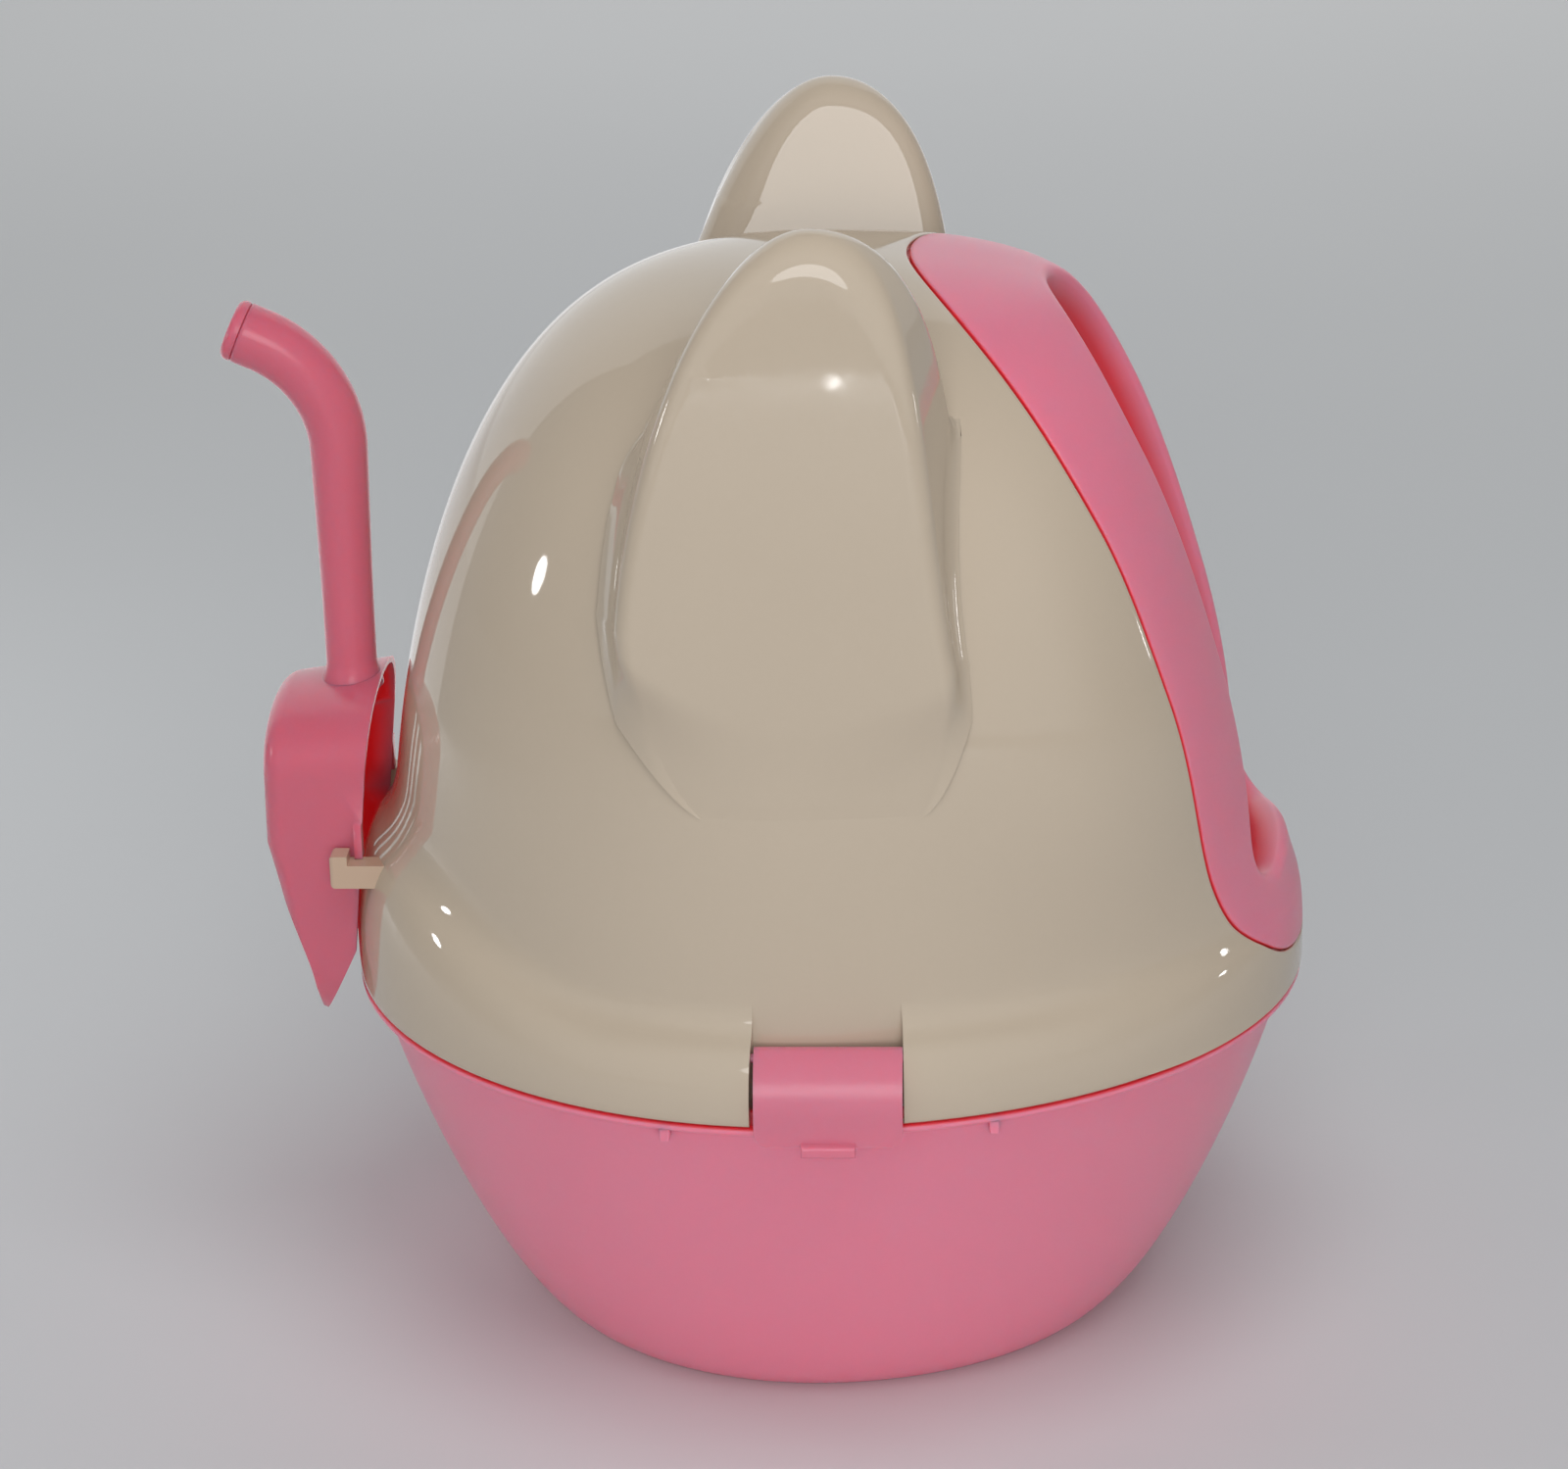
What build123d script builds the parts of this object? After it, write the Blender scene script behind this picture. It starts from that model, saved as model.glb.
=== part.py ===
from build123d import *
from math import comb, cos, pi, radians, sin
import os

# Cat litter box with a hood: an egg-shaped tray, a domed hood with two ears, a front panel with the
# entrance, two side latches and a scoop that hangs on two hooks at the back.
# Millimetres. +X is the front (entrance), +Y the left side, +Z up, origin on the floor under the
# middle of the tray's length.

os.makedirs("parts", exist_ok=True)

# Plan of the rim: an egg with its widest place behind the middle
LENGTH = 400.0
WIDTH = 364.0
WIDEST_X = -10.0
ROUND = 0.5523
NOSE_SQUARENESS = 0.70

# Tray
FLOOR_SCALE = 0.60
BOWL_TOP_SCALE = 0.965
BOWL_DROP_POWER = 1.13
BOWL_FILL_POWER = 1.44
BOWL_SHARES = (0.0, 0.02, 0.08, 0.2, 0.4, 0.6, 0.8, 1.0)
TRAY_WALL = 3.0
RIM_HEIGHT = 152.5
FLANGE_THICK = 3.3
FLANGE_INSET = 0.4
LIP_HEIGHT = 6.0
LIP_GAP = 1.0
RIB_SPREAD = 64.0
RIB_THICK = 4.0
RIB_DROP = 5.5
RIB_NOSE = 2.2
RIB_REACH = 7.0
RIB_INSET = 1.0

# Hood
HOOD_GAP = 0.6
HOOD_WALL = 3.0
BRIM_STRAIGHT = 7.0
BRIM_HEIGHT = 34.0
BRIM_REACH_BACK = 17.0
BRIM_REACH_SIDE = 17.0
BRIM_STEPS = 4
HOOD_TOP = 455.0
CREST_X = -2.0
CREST_CAP = 1.0
DOME_STEPS = 9
BACK_DROP_POWER = 1.81
BACK_FILL_POWER = 3.0
SIDE_DROP_POWER = 2.75
SIDE_FILL_POWER = 2.56
FRONT_CREST_REACH = 170.0
FRONT_SHOULDER_X = 117.0
FRONT_SHOULDER_Z = 424.0
FRONT_FOOT_RISE = 11.0
HALVINGS = 50

# Ears: tongue outlines seen from the side, of the outer face and of the wider root behind it
EAR_TOP = 498.0
EAR_TOP_X = 1.0
EAR_CROWN_FRONT = 45.0
EAR_CROWN_BACK = 50.0
EAR_BOTTOM = 251.0
EAR_HEEL_X = 4.0
EAR_HEEL_FRONT = 50.0
EAR_HEEL_BACK = 46.0
EAR_FACE_DROP = 4.0
EAR_FACE_FRONT = (60.0, 318.0)
EAR_FACE_FRONT_RUN = 74.0
EAR_FACE_FRONT_TURN = 34.0
EAR_FACE_FRONT_LEAN = 0.22
EAR_FACE_BACK = (-71.0, 330.0)
EAR_FACE_BACK_RUN = 50.0
EAR_FACE_BACK_TURN = 30.0
EAR_FACE_BACK_LEAN = 0.10
EAR_ROOT_FRONT = (62.0, 330.0)
EAR_ROOT_FRONT_RUN = 132.0
EAR_ROOT_FRONT_TURN = 50.0
EAR_ROOT_BACK = (-88.0, 345.0)
EAR_ROOT_BACK_RUN = 40.0
EAR_ROOT_BACK_TURN = 35.0
EAR_OUTER_Y = 164.0
EAR_OUTER_LEAN = 0.055
EAR_INNER_Y = 52.0
EAR_INNER_LEAN = 0.30
EAR_EDGE_ROUND = 9.0

# Front panel and its entrance, drawn on a plane that faces forwards and up
PANEL_TILT = 35.0
PANEL_HALF = 105.0
PANEL_FOOT_HALF = 108.0
PANEL_TOP = 351.0
PANEL_SHOULDER = 251.0
PANEL_FOOT = 100.0
PANEL_BOTTOM = 28.0
PANEL_SQUARENESS = 0.58
PANEL_BOTTOM_RUN = 60.0
PANEL_GAP = 0.5
SEAT_GAP = 0.3
SEAT_BITE = 0.2
SEAT_THICK = 2.2
SEAT_LAP = 6.0
SEAT_ROOT = 5.0
SNAP_R = 1.6
SNAP_GAP = 0.1
SNAP_SHARES = (0.25, 0.75)
DOOR_HALF_TOP = 54.0
DOOR_HALF_BOTTOM = 78.0
DOOR_TOP = 309.0
DOOR_SPRING = 248.0
DOOR_SWELL = 69.0
DOOR_BOTTOM = 60.0
DOOR_CORNER = 20.0
DOOR_LIP_WIDTH = 7.0
DOOR_LIP_DEPTH = 8.0
DOOR_LIP_ROUND = 4.0
RIM_SEARCH = 1.0
PRISM_NEAR = 195.0
PRISM_FAR = 370.0

# Latches
LATCH_X = 5.0
LATCH_WIDTH = 57.4
LATCH_SIDE_GAP = 0.5
LATCH_THICK = 3.0
LATCH_BARREL_R = 4.5
LATCH_CROWN_ANGLE = 60.0
LATCH_UNDER_ANGLE = -49.0
LATCH_SWELL = 9.0
LATCH_PIN_R = 1.8
LATCH_PIN_GAP = 0.05
LATCH_PIN_REACH = 2.6
PIN_BORE_PAST = 1.0
LATCH_PIVOT_IN = 11.5
LATCH_PIVOT_Z = 178.0
LATCH_BOTTOM = 147.5
LATCH_CLEAR = 0.8
LATCH_BEAD = 0.7
LATCH_BEAD_R = 1.0
LATCH_CORNER = 5.0
TAB_WIDTH = 21.0
TAB_REACH = 4.0
TAB_DROP = 3.2
TAB_ROOT = 1.5
TAB_ROUND = 1.2
NOTCH_RISE = 6.0
NOTCH_LIP_GAP = 1.0

# Scoop pan: an arch-shaped dish with its open side towards the hood
SCOOP_TOP = 276.0
SCOOP_ARCH = 28.0
SCOOP_TIP_Z = 124.0
SCOOP_TIP_X = -217.0
SCOOP_HALF = 49.0
SCOOP_SHOULDER_Z = 168.0
SCOOP_SQUARENESS = 0.62
SCOOP_RIM_TOP_X = -185.0
SCOOP_RIM_LOW_X = -196.0
SCOOP_FLOOR_X = -238.0
SCOOP_BEND_Z = 190.0
SCOOP_DRAFT = 6.0
SCOOP_WALL = 2.2
SCOOP_FLOOR_ROUND = 11.0
SLOT_COUNT = 5
SLOT_WIDTH = 6.0
SLOT_LENGTH = 50.0
SLOT_PITCH = 13.0
SLOT_TOP = 250.0

# Scoop handle: upright, then bent back over the top
HANDLE_X = -198.0
HANDLE_SINK = 5.0
HANDLE_BEND_Z = 373.0
HANDLE_BEND_R = 50.0
HANDLE_BEND_TURN = 66.0
HANDLE_TAIL = 8.0
HANDLE_FOOT_R = 11.0
HANDLE_END_R = 14.0
HANDLE_WALL = 2.4
HANDLE_STEPS = 4
SPIGOT_R = 7.0
SPIGOT_LENGTH = 12.0
SPIGOT_GAP = 0.1
CAP_LENGTH = 5.0
CAP_PLUG = 7.0
CAP_GAP = 0.25
CAP_ROUND = 4.0

# Hooks that carry the scoop
HOOK_GAP = 1.0
HOOK_WIDTH = 10.0
HOOK_ROOT_X = -150.0
HOOK_TIP_X = -203.0
HOOK_STEP_X = -195.5
HOOK_BOTTOM = 202.0
HOOK_SEAT_Z = 212.0
HOOK_TIP_Z = 216.0
HOOK_ROUND = 2.0
PEG_WIDTH = 6.0
PEG_HEIGHT = 6.0
PEG_END_X = -160.0
PEG_GAP = 0.15
NUB_X = -191.8
NUB_THICK = 3.5
NUB_HEIGHT = 15.0
NUB_REACH = 4.0
NUB_ROOT = 1.5
NUB_REST = 0.3

RIM_BACK = -LENGTH / 2
RIM_FRONT = LENGTH / 2
RIM_HALF = WIDTH / 2
HOOD_BOTTOM = RIM_HEIGHT + HOOD_GAP
WALL_BASE = HOOD_BOTTOM + BRIM_HEIGHT
WALL_BACK = RIM_BACK + BRIM_REACH_BACK
WALL_HALF = RIM_HALF - BRIM_REACH_SIDE
PANEL_THICK = HOOD_WALL - SEAT_BITE - SEAT_GAP
LATCH_PIVOT_Y = RIM_HALF - LATCH_PIVOT_IN
NOTCH_HALF = LATCH_WIDTH / 2 + LATCH_SIDE_GAP
HOOK_INNER_Y = SCOOP_HALF + HOOK_GAP
PEG_Z = (HOOK_BOTTOM + HOOK_SEAT_Z) / 2


def block(x_range, y_range, z_range):
    """A box between two values on each axis."""
    sizes = [high - low for low, high in (x_range, y_range, z_range)]
    middle = [(high + low) / 2 for low, high in (x_range, y_range, z_range)]
    return Pos(*middle) * Box(*sizes)


def rod_along_x(x_range, y, z, radius):
    """A round rod along X between two values of x."""
    low, high = x_range
    return Pos((low + high) / 2, y, z) * Rot(0, 90, 0) * Cylinder(radius, high - low)


def both_sides(piece):
    """A piece and its mirror image on the other side of the middle."""
    return piece + mirror(piece, about=Plane.XZ)


def egg(back, front, half, widest, z, nose=ROUND):
    """Closed egg outline at height z, made of four quarter curves; nose squares its front half."""
    ahead = widest + nose * (front - widest)
    behind = widest - ROUND * (widest - back)
    quarters = []
    for side in (1, -1):
        y = side * half
        quarters.append(((front, 0, z), (front, nose * y, z), (ahead, y, z), (widest, y, z)))
        quarters.append(((widest, y, z), (behind, y, z), (back, ROUND * y, z), (back, 0, z)))
    return Wire([Edge.make_bezier(*points) for points in quarters])


def rim_egg(z, inset=0.0, scale=1.0):
    """The rim's outline at height z, scaled about the origin and then drawn in by inset."""
    return egg(
        RIM_BACK * scale + inset,
        RIM_FRONT * scale - inset,
        RIM_HALF * scale - inset,
        WIDEST_X * scale,
        z,
    )


def slab(outline, travel):
    """A straight solid swept from a flat closed outline along travel."""
    return Part() + Solid.extrude(Face(outline), Vector(*travel))


def plate(outline, height):
    """A flat plate standing up from a horizontal outline."""
    return slab(outline, (0, 0, height))


def skin(outlines):
    """A smooth solid through outlines, bottom to top."""
    return Part() + Solid.make_loft(outlines)


def bowl(bottom, top, inset):
    """The tray's body between two heights, drawn in by inset on every side."""
    outlines = []
    for share in BOWL_SHARES:
        fill = (1 - (1 - share) ** BOWL_DROP_POWER) ** (1 / BOWL_FILL_POWER)
        scale = FLOOR_SCALE + (BOWL_TOP_SCALE - FLOOR_SCALE) * fill
        outlines.append(rim_egg(bottom + share * (top - bottom), inset, scale))
    return skin(outlines)


def make_tray():
    """Bowl with a flat bottom, a flat flange, an upright lip and short ribs under the flange."""
    under = RIM_HEIGHT - FLANGE_THICK
    tray = bowl(0, under, 0)
    tray += plate(rim_egg(under, FLANGE_INSET), FLANGE_THICK)
    for end in (1, -1):
        tray += both_sides(rib(LATCH_X + end * RIB_SPREAD))
    tray -= bowl(TRAY_WALL, under, TRAY_WALL)
    tray -= plate(rim_egg(under, TRAY_WALL, BOWL_TOP_SCALE), FLANGE_THICK)
    lip_inset = HOOD_WALL + LIP_GAP
    lip_bottom = RIM_HEIGHT - FLANGE_THICK / 2
    lip_height = LIP_HEIGHT + FLANGE_THICK / 2
    lip = plate(rim_egg(lip_bottom, lip_inset), lip_height)
    return tray + (lip - plate(rim_egg(lip_bottom, lip_inset + TRAY_WALL), lip_height))


def rim_y(x, inset):
    """Half width of the rim's outline, drawn in by inset, at x near the middle."""
    end = RIM_FRONT if x > WIDEST_X else RIM_BACK
    reach = (x - WIDEST_X) / (abs(end - WIDEST_X) - inset)
    return (RIM_HALF - inset) * (1 - reach**2) ** 0.5


def rib(x):
    """A small gusset between the bowl and the underside of the flange, on the left side."""
    top = RIM_HEIGHT - FLANGE_THICK / 2
    under = RIM_HEIGHT - FLANGE_THICK
    outer = rim_y(x, FLANGE_INSET + RIB_INSET)
    corners = (
        (outer, top),
        (outer, under - RIB_NOSE),
        (outer - RIB_REACH, under - RIB_DROP),
        (outer - 2 * RIB_REACH, under - RIB_DROP),
        (outer - 2 * RIB_REACH, top),
    )
    points = [(x - RIB_THICK / 2, y, z) for y, z in corners]
    return slab(Wire.make_polygon(points, close=True), (RIB_THICK, 0, 0))


def front_reach(z, inset):
    """X of the hood's front profile at height z: a quartic curve from the crest to the brim."""
    profile = (
        (CREST_X, HOOD_TOP - inset),
        (CREST_X + FRONT_CREST_REACH - inset, HOOD_TOP - inset),
        (FRONT_SHOULDER_X - inset, FRONT_SHOULDER_Z - inset),
        (RIM_FRONT - inset, WALL_BASE + FRONT_FOOT_RISE),
        (RIM_FRONT - inset, WALL_BASE),
    )
    low, high = 0.0, 1.0
    for _ in range(HALVINGS):
        t = (low + high) / 2
        weights = [comb(4, i) * t**i * (1 - t) ** (4 - i) for i in range(5)]
        height = sum(w * p[1] for w, p in zip(weights, profile))
        low, high = (t, high) if height > z else (low, t)
    return sum(w * p[0] for w, p in zip(weights, profile))


def wall_egg(z, inset):
    """The hood's outline at height z above the brim, drawn in by inset."""
    share = max(0.0, (z - WALL_BASE) / (HOOD_TOP - inset - WALL_BASE))
    back_fill = (1 - share**BACK_DROP_POWER) ** (1 / BACK_FILL_POWER)
    side_fill = (1 - share**SIDE_DROP_POWER) ** (1 / SIDE_FILL_POWER)
    back = CREST_X + (WALL_BACK + inset - CREST_X) * back_fill
    front = front_reach(max(z, WALL_BASE), inset)
    widest = CREST_X + (WIDEST_X - CREST_X) * back_fill
    return egg(back, front, (WALL_HALF - inset) * side_fill, widest, z, NOSE_SQUARENESS)


def brim_egg(z, inset, turn):
    """The brim's outline part of the way (turn, 0 to 1) round its quarter-round section."""
    draw = 1 - cos(turn * pi / 2)
    squareness = ROUND + (NOSE_SQUARENESS - ROUND) * turn
    return egg(
        RIM_BACK + inset + draw * BRIM_REACH_BACK,
        RIM_FRONT - inset,
        RIM_HALF - inset - draw * BRIM_REACH_SIDE,
        WIDEST_X,
        z,
        squareness,
    )


def brim(inset, top):
    """The brim: a short upright band, then a quarter round up to the wall."""
    outlines = [brim_egg(HOOD_BOTTOM, inset, 0)]
    start = HOOD_BOTTOM + BRIM_STRAIGHT
    for step in range(BRIM_STEPS + 1):
        turn = step / BRIM_STEPS
        outlines.append(brim_egg(start + (top - start) * sin(turn * pi / 2), inset, turn))
    return skin(outlines)


def dome(inset, bottom):
    """The hood's body above the brim, drawn in by inset on every side."""
    top = HOOD_TOP - inset - CREST_CAP
    outlines = []
    for step in range(DOME_STEPS + 1):
        z = bottom + (top - bottom) * sin(step / DOME_STEPS * pi / 2)
        outlines.append(wall_egg(z, inset))
    return skin(outlines)


def tongue(brow, nape, runs, turns, leans, drop, inset):
    """Corner points of an ear's outline seen from the side, as four Bezier quarters drawn in by inset."""
    top = EAR_TOP - drop - inset / 2
    bottom = EAR_BOTTOM + inset
    crown = (EAR_TOP_X, top)
    heel = (EAR_HEEL_X, bottom)
    front, back = brow[0] - inset, nape[0] + inset
    brow, nape = (front, brow[1]), (back, nape[1])
    over_brow = (front - leans[0] * runs[0], brow[1] + runs[0])
    under_brow = (front + leans[0] * turns[0], brow[1] - turns[0])
    over_nape = (back + leans[1] * runs[1], nape[1] + runs[1])
    under_nape = (back - leans[1] * turns[1], nape[1] - turns[1])
    return (
        (crown, (EAR_TOP_X + EAR_CROWN_FRONT, top), over_brow, brow),
        (brow, under_brow, (EAR_HEEL_X + EAR_HEEL_FRONT, bottom), heel),
        (heel, (EAR_HEEL_X - EAR_HEEL_BACK, bottom), under_nape, nape),
        (nape, over_nape, (EAR_TOP_X - EAR_CROWN_BACK, top), crown),
    )


def leaning_wire(quarters, y, lean):
    """Closed wire of Bezier quarters in a plane at y over the ear's bottom that leans by lean."""
    edges = []
    for quarter in quarters:
        edges.append(Edge.make_bezier(*[(x, y + lean * (z - EAR_BOTTOM), z) for x, z in quarter]))
    return Wire(edges)


def ear(inset):
    """The left ear as a solid that runs down into the dome, with rounded edges, drawn in by inset."""
    face = tongue(
        EAR_FACE_FRONT,
        EAR_FACE_BACK,
        (EAR_FACE_FRONT_RUN, EAR_FACE_BACK_RUN),
        (EAR_FACE_FRONT_TURN, EAR_FACE_BACK_TURN),
        (EAR_FACE_FRONT_LEAN, EAR_FACE_BACK_LEAN),
        EAR_FACE_DROP,
        inset,
    )
    root = tongue(
        EAR_ROOT_FRONT,
        EAR_ROOT_BACK,
        (EAR_ROOT_FRONT_RUN, EAR_ROOT_BACK_RUN),
        (EAR_ROOT_FRONT_TURN, EAR_ROOT_BACK_TURN),
        (0, 0),
        0,
        inset,
    )
    outer = leaning_wire(face, EAR_OUTER_Y - inset, -EAR_OUTER_LEAN)
    solid = skin([outer, leaning_wire(root, EAR_INNER_Y + inset, EAR_INNER_LEAN)])
    ends = solid.faces().sort_by(Axis.Y)
    return fillet(ends[0].edges() + ends[-1].edges(), EAR_EDGE_ROUND - inset)


def hood_form(inset):
    """The hood's body without ears, drawn in by inset on every side."""
    shoulder = WALL_BASE - inset
    return brim(inset, shoulder) + dome(inset, shoulder)


def facing(y, up, out):
    """A point given across, up along and out from the plane that faces forwards and up."""
    tilt = radians(PANEL_TILT)
    return (out * cos(tilt) - up * sin(tilt), y, out * sin(tilt) + up * cos(tilt))


def prism(half_outline):
    """A solid through the front of the hood: chains of points of one half, mirrored and swept."""
    edges = []
    for side in (1, -1):
        for chain in half_outline:
            points = [facing(side * y, up, PRISM_NEAR) for y, up in chain]
            edges.append(Edge.make_bezier(*points))
    return slab(Wire(edges), facing(0, 0, PRISM_FAR - PRISM_NEAR))


def panel_prism(grow):
    """The front panel's outline, grown on every side, as a solid through the hood's front."""
    half = PANEL_HALF + grow
    foot_half = PANEL_FOOT_HALF + grow
    top = PANEL_TOP + grow
    bottom = PANEL_BOTTOM - grow
    rise = PANEL_SQUARENESS * (PANEL_TOP - PANEL_SHOULDER)
    drop = PANEL_SQUARENESS * (PANEL_FOOT - bottom)
    shoulder = (half, PANEL_SHOULDER)
    foot = (foot_half, PANEL_FOOT)
    return prism(
        (
            ((0, top), (PANEL_SQUARENESS * half, top), (half, PANEL_SHOULDER + rise), shoulder),
            (shoulder, foot),
            (foot, (foot_half, PANEL_FOOT - drop), (PANEL_BOTTOM_RUN, bottom), (0, bottom)),
        )
    )


def door_prism(grow):
    """The entrance's outline, grown on every side, as a solid through the hood's front."""
    half = DOOR_HALF_TOP + grow
    foot_half = DOOR_HALF_BOTTOM + grow
    top = DOOR_TOP + grow
    bottom = DOOR_BOTTOM - grow
    corner = DOOR_CORNER + grow
    spring = (half, DOOR_SPRING)
    knee = (foot_half, bottom + corner)
    sill = (foot_half - corner, bottom)
    ease = corner * (1 - ROUND)
    return prism(
        (
            ((0, top), (ROUND * half, top), (half, DOOR_SPRING + ROUND * (top - DOOR_SPRING)), spring),
            (spring, (half, DOOR_SPRING - DOOR_SWELL), (foot_half, bottom + corner + DOOR_SWELL / 2), knee),
            (knee, (foot_half, bottom + ease), (foot_half - ease, bottom), sill),
            (sill, (0, bottom)),
        )
    )


def snap_rods(radius):
    """Rods at the places where the panel snaps into its seat, two on each side."""
    rods = Part()
    for share in SNAP_SHARES:
        y = PANEL_HALF + share * (PANEL_FOOT_HALF - PANEL_HALF) - SEAT_LAP / 2
        up = PANEL_SHOULDER + share * (PANEL_FOOT - PANEL_SHOULDER)
        plane = Plane(facing(y, up, PRISM_NEAR), x_dir=(0, 1, 0), z_dir=facing(0, 0, 1))
        circle = Wire.make_circle(radius, plane)
        rods += both_sides(slab(circle, facing(0, 0, PRISM_FAR - PRISM_NEAR)))
    return rods


def make_panel(outer, inner_deep):
    """The front panel: a skin of the hood's own surface with a rolled lip round the entrance."""
    panel = (outer - hood_form(PANEL_THICK)) & panel_prism(0)
    panel += (outer - inner_deep) & door_prism(DOOR_LIP_WIDTH)
    panel += (hood_form(PANEL_THICK / 2) - inner_deep) & snap_rods(SNAP_R)
    panel -= door_prism(0)
    return fillet(door_rim(panel, outer), DOOR_LIP_ROUND)


def door_rim(panel, outer):
    """The edges where the entrance breaks through the panel's outer face."""
    tilt = radians(PANEL_TILT)
    rim = []
    for edge in panel.edges():
        middle = edge.position_at(0.5)
        up = middle.Z * cos(tilt) - middle.X * sin(tilt)
        inside = abs(middle.Y) < PANEL_HALF - SEAT_LAP
        inside = inside and DOOR_BOTTOM - RIM_SEARCH < up < DOOR_TOP + RIM_SEARCH
        if inside and min(face.distance_to(middle) for face in outer.faces()) < SEAT_BITE / 2:
            rim.append(edge)
    return rim


def make_notch(outer_brim):
    """The left latch's recess: what is cut from the brim, the walls that line it and the pins' bore."""
    low = LATCH_X - NOTCH_HALF
    high = LATCH_X + NOTCH_HALF
    reach = (0, RIM_HALF + BRIM_HEIGHT)
    top = WALL_BASE + NOTCH_RISE
    wall = plate(wall_egg(HOOD_BOTTOM, 0), top - HOOD_BOTTOM)
    cut = block((low, high), reach, (HOOD_BOTTOM - HOOD_GAP, top)) - wall
    lip_top = RIM_HEIGHT + LIP_HEIGHT + NOTCH_LIP_GAP
    liner = outer_brim & block((low - HOOD_WALL, high + HOOD_WALL), reach, (lip_top, top))
    liner -= plate(wall_egg(HOOD_BOTTOM, HOOD_WALL), BRIM_HEIGHT)
    liner -= cut
    bore = rod_along_x(
        (low - HOOD_WALL - PIN_BORE_PAST, high + HOOD_WALL + PIN_BORE_PAST),
        LATCH_PIVOT_Y,
        LATCH_PIVOT_Z,
        LATCH_PIN_R + LATCH_PIN_GAP,
    )
    return cut, liner, bore


def make_hood(outer):
    """The hood shell with its ears, panel seat, latch recesses and holes for the hooks."""
    hood = outer + both_sides(ear(0))
    hood -= hood_form(HOOD_WALL)
    hood -= both_sides(ear(HOOD_WALL))
    hood -= panel_prism(PANEL_GAP)
    seat_depth = HOOD_WALL - SEAT_BITE
    seat = hood_form(seat_depth) - hood_form(seat_depth + SEAT_THICK)
    seat &= panel_prism(SEAT_ROOT)
    hood += seat - panel_prism(-SEAT_LAP)
    hood -= snap_rods(SNAP_R + SNAP_GAP)
    cut, liner, bore = make_notch(brim(0, WALL_BASE))
    hood -= both_sides(cut)
    hood += both_sides(liner)
    hood -= both_sides(bore)
    hood -= both_sides(hook_peg(PEG_GAP))
    return hood


def make_latch():
    """The left latch: a curled plate under a pivot barrel, with stub pins, a catch bead and a tab."""
    near_y = RIM_HALF + LATCH_CLEAR
    far_y = near_y + LATCH_THICK
    knee_z = HOOD_BOTTOM + BRIM_STRAIGHT
    low = LATCH_X - LATCH_WIDTH / 2
    high = LATCH_X + LATCH_WIDTH / 2

    def on_barrel(angle, along):
        turn = radians(angle)
        y = LATCH_PIVOT_Y + LATCH_BARREL_R * cos(turn) + along * sin(turn)
        return (low, y, LATCH_PIVOT_Z + LATCH_BARREL_R * sin(turn) - along * cos(turn))

    crown = on_barrel(LATCH_CROWN_ANGLE, 0)
    under = on_barrel(LATCH_UNDER_ANGLE, 0)
    pivot = (low, LATCH_PIVOT_Y, LATCH_PIVOT_Z)
    knee = (low, far_y, knee_z)
    inner_knee = (low, near_y, knee_z)
    swell_z = knee_z + LATCH_SWELL
    face_bend = (crown, on_barrel(LATCH_CROWN_ANGLE, LATCH_SWELL), (low, far_y, swell_z), knee)
    back_bend = (inner_knee, (low, near_y, swell_z), (low, near_y - LATCH_THICK, swell_z), under)
    outline = Wire(
        [
            Edge.make_bezier(*face_bend),
            Edge.make_line(knee, (low, far_y, LATCH_BOTTOM)),
            Edge.make_line((low, far_y, LATCH_BOTTOM), (low, near_y, LATCH_BOTTOM)),
            Edge.make_line((low, near_y, LATCH_BOTTOM), inner_knee),
            Edge.make_bezier(*back_bend),
            Edge.make_line(under, pivot),
            Edge.make_line(pivot, crown),
        ]
    )
    latch = slab(outline, (LATCH_WIDTH, 0, 0))
    corners = latch.edges().filter_by(Axis.Y).group_by(Axis.Z)[0]
    latch = fillet(corners, LATCH_CORNER)
    latch += rod_along_x((low, high), LATCH_PIVOT_Y, LATCH_PIVOT_Z, LATCH_BARREL_R)
    bead_x = (low + LATCH_CORNER, high - LATCH_CORNER)
    bead_y = near_y + LATCH_BEAD_R - LATCH_BEAD
    latch += rod_along_x(bead_x, bead_y, LATCH_BOTTOM + LATCH_BEAD_R, LATCH_BEAD_R)
    tab = block(
        (LATCH_X - TAB_WIDTH / 2, LATCH_X + TAB_WIDTH / 2),
        (near_y, far_y + TAB_REACH),
        (LATCH_BOTTOM - TAB_DROP, LATCH_BOTTOM + TAB_ROOT),
    )
    latch += fillet(tab.edges().group_by(Axis.Y)[-1], TAB_ROUND)
    reach = LATCH_SIDE_GAP + LATCH_PIN_REACH
    latch += rod_along_x((low - reach, high + reach), LATCH_PIVOT_Y, LATCH_PIVOT_Z, LATCH_PIN_R)
    return latch


def arch(x, inset):
    """The scoop's outline at x, rounded at its top and at its front edge, drawn in by inset."""
    half = SCOOP_HALF - inset
    top = SCOOP_TOP - inset
    tip = SCOOP_TIP_Z + inset
    spring = top - SCOOP_ARCH
    bow = SCOOP_SQUARENESS
    rise = bow * SCOOP_ARCH
    drop = bow * (SCOOP_SHOULDER_Z - tip)
    edges = []
    for side in (1, -1):
        y = side * half
        start = (x, y, spring)
        end = (x, y, SCOOP_SHOULDER_Z)
        edges.append(Edge.make_bezier((x, 0, top), (x, bow * y, top), (x, y, spring + rise), start))
        edges.append(Edge.make_line(start, end))
        edges.append(Edge.make_bezier(end, (x, y, SCOOP_SHOULDER_Z - drop), (x, bow * y, tip), (x, 0, tip)))
    return Wire(edges)


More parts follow.
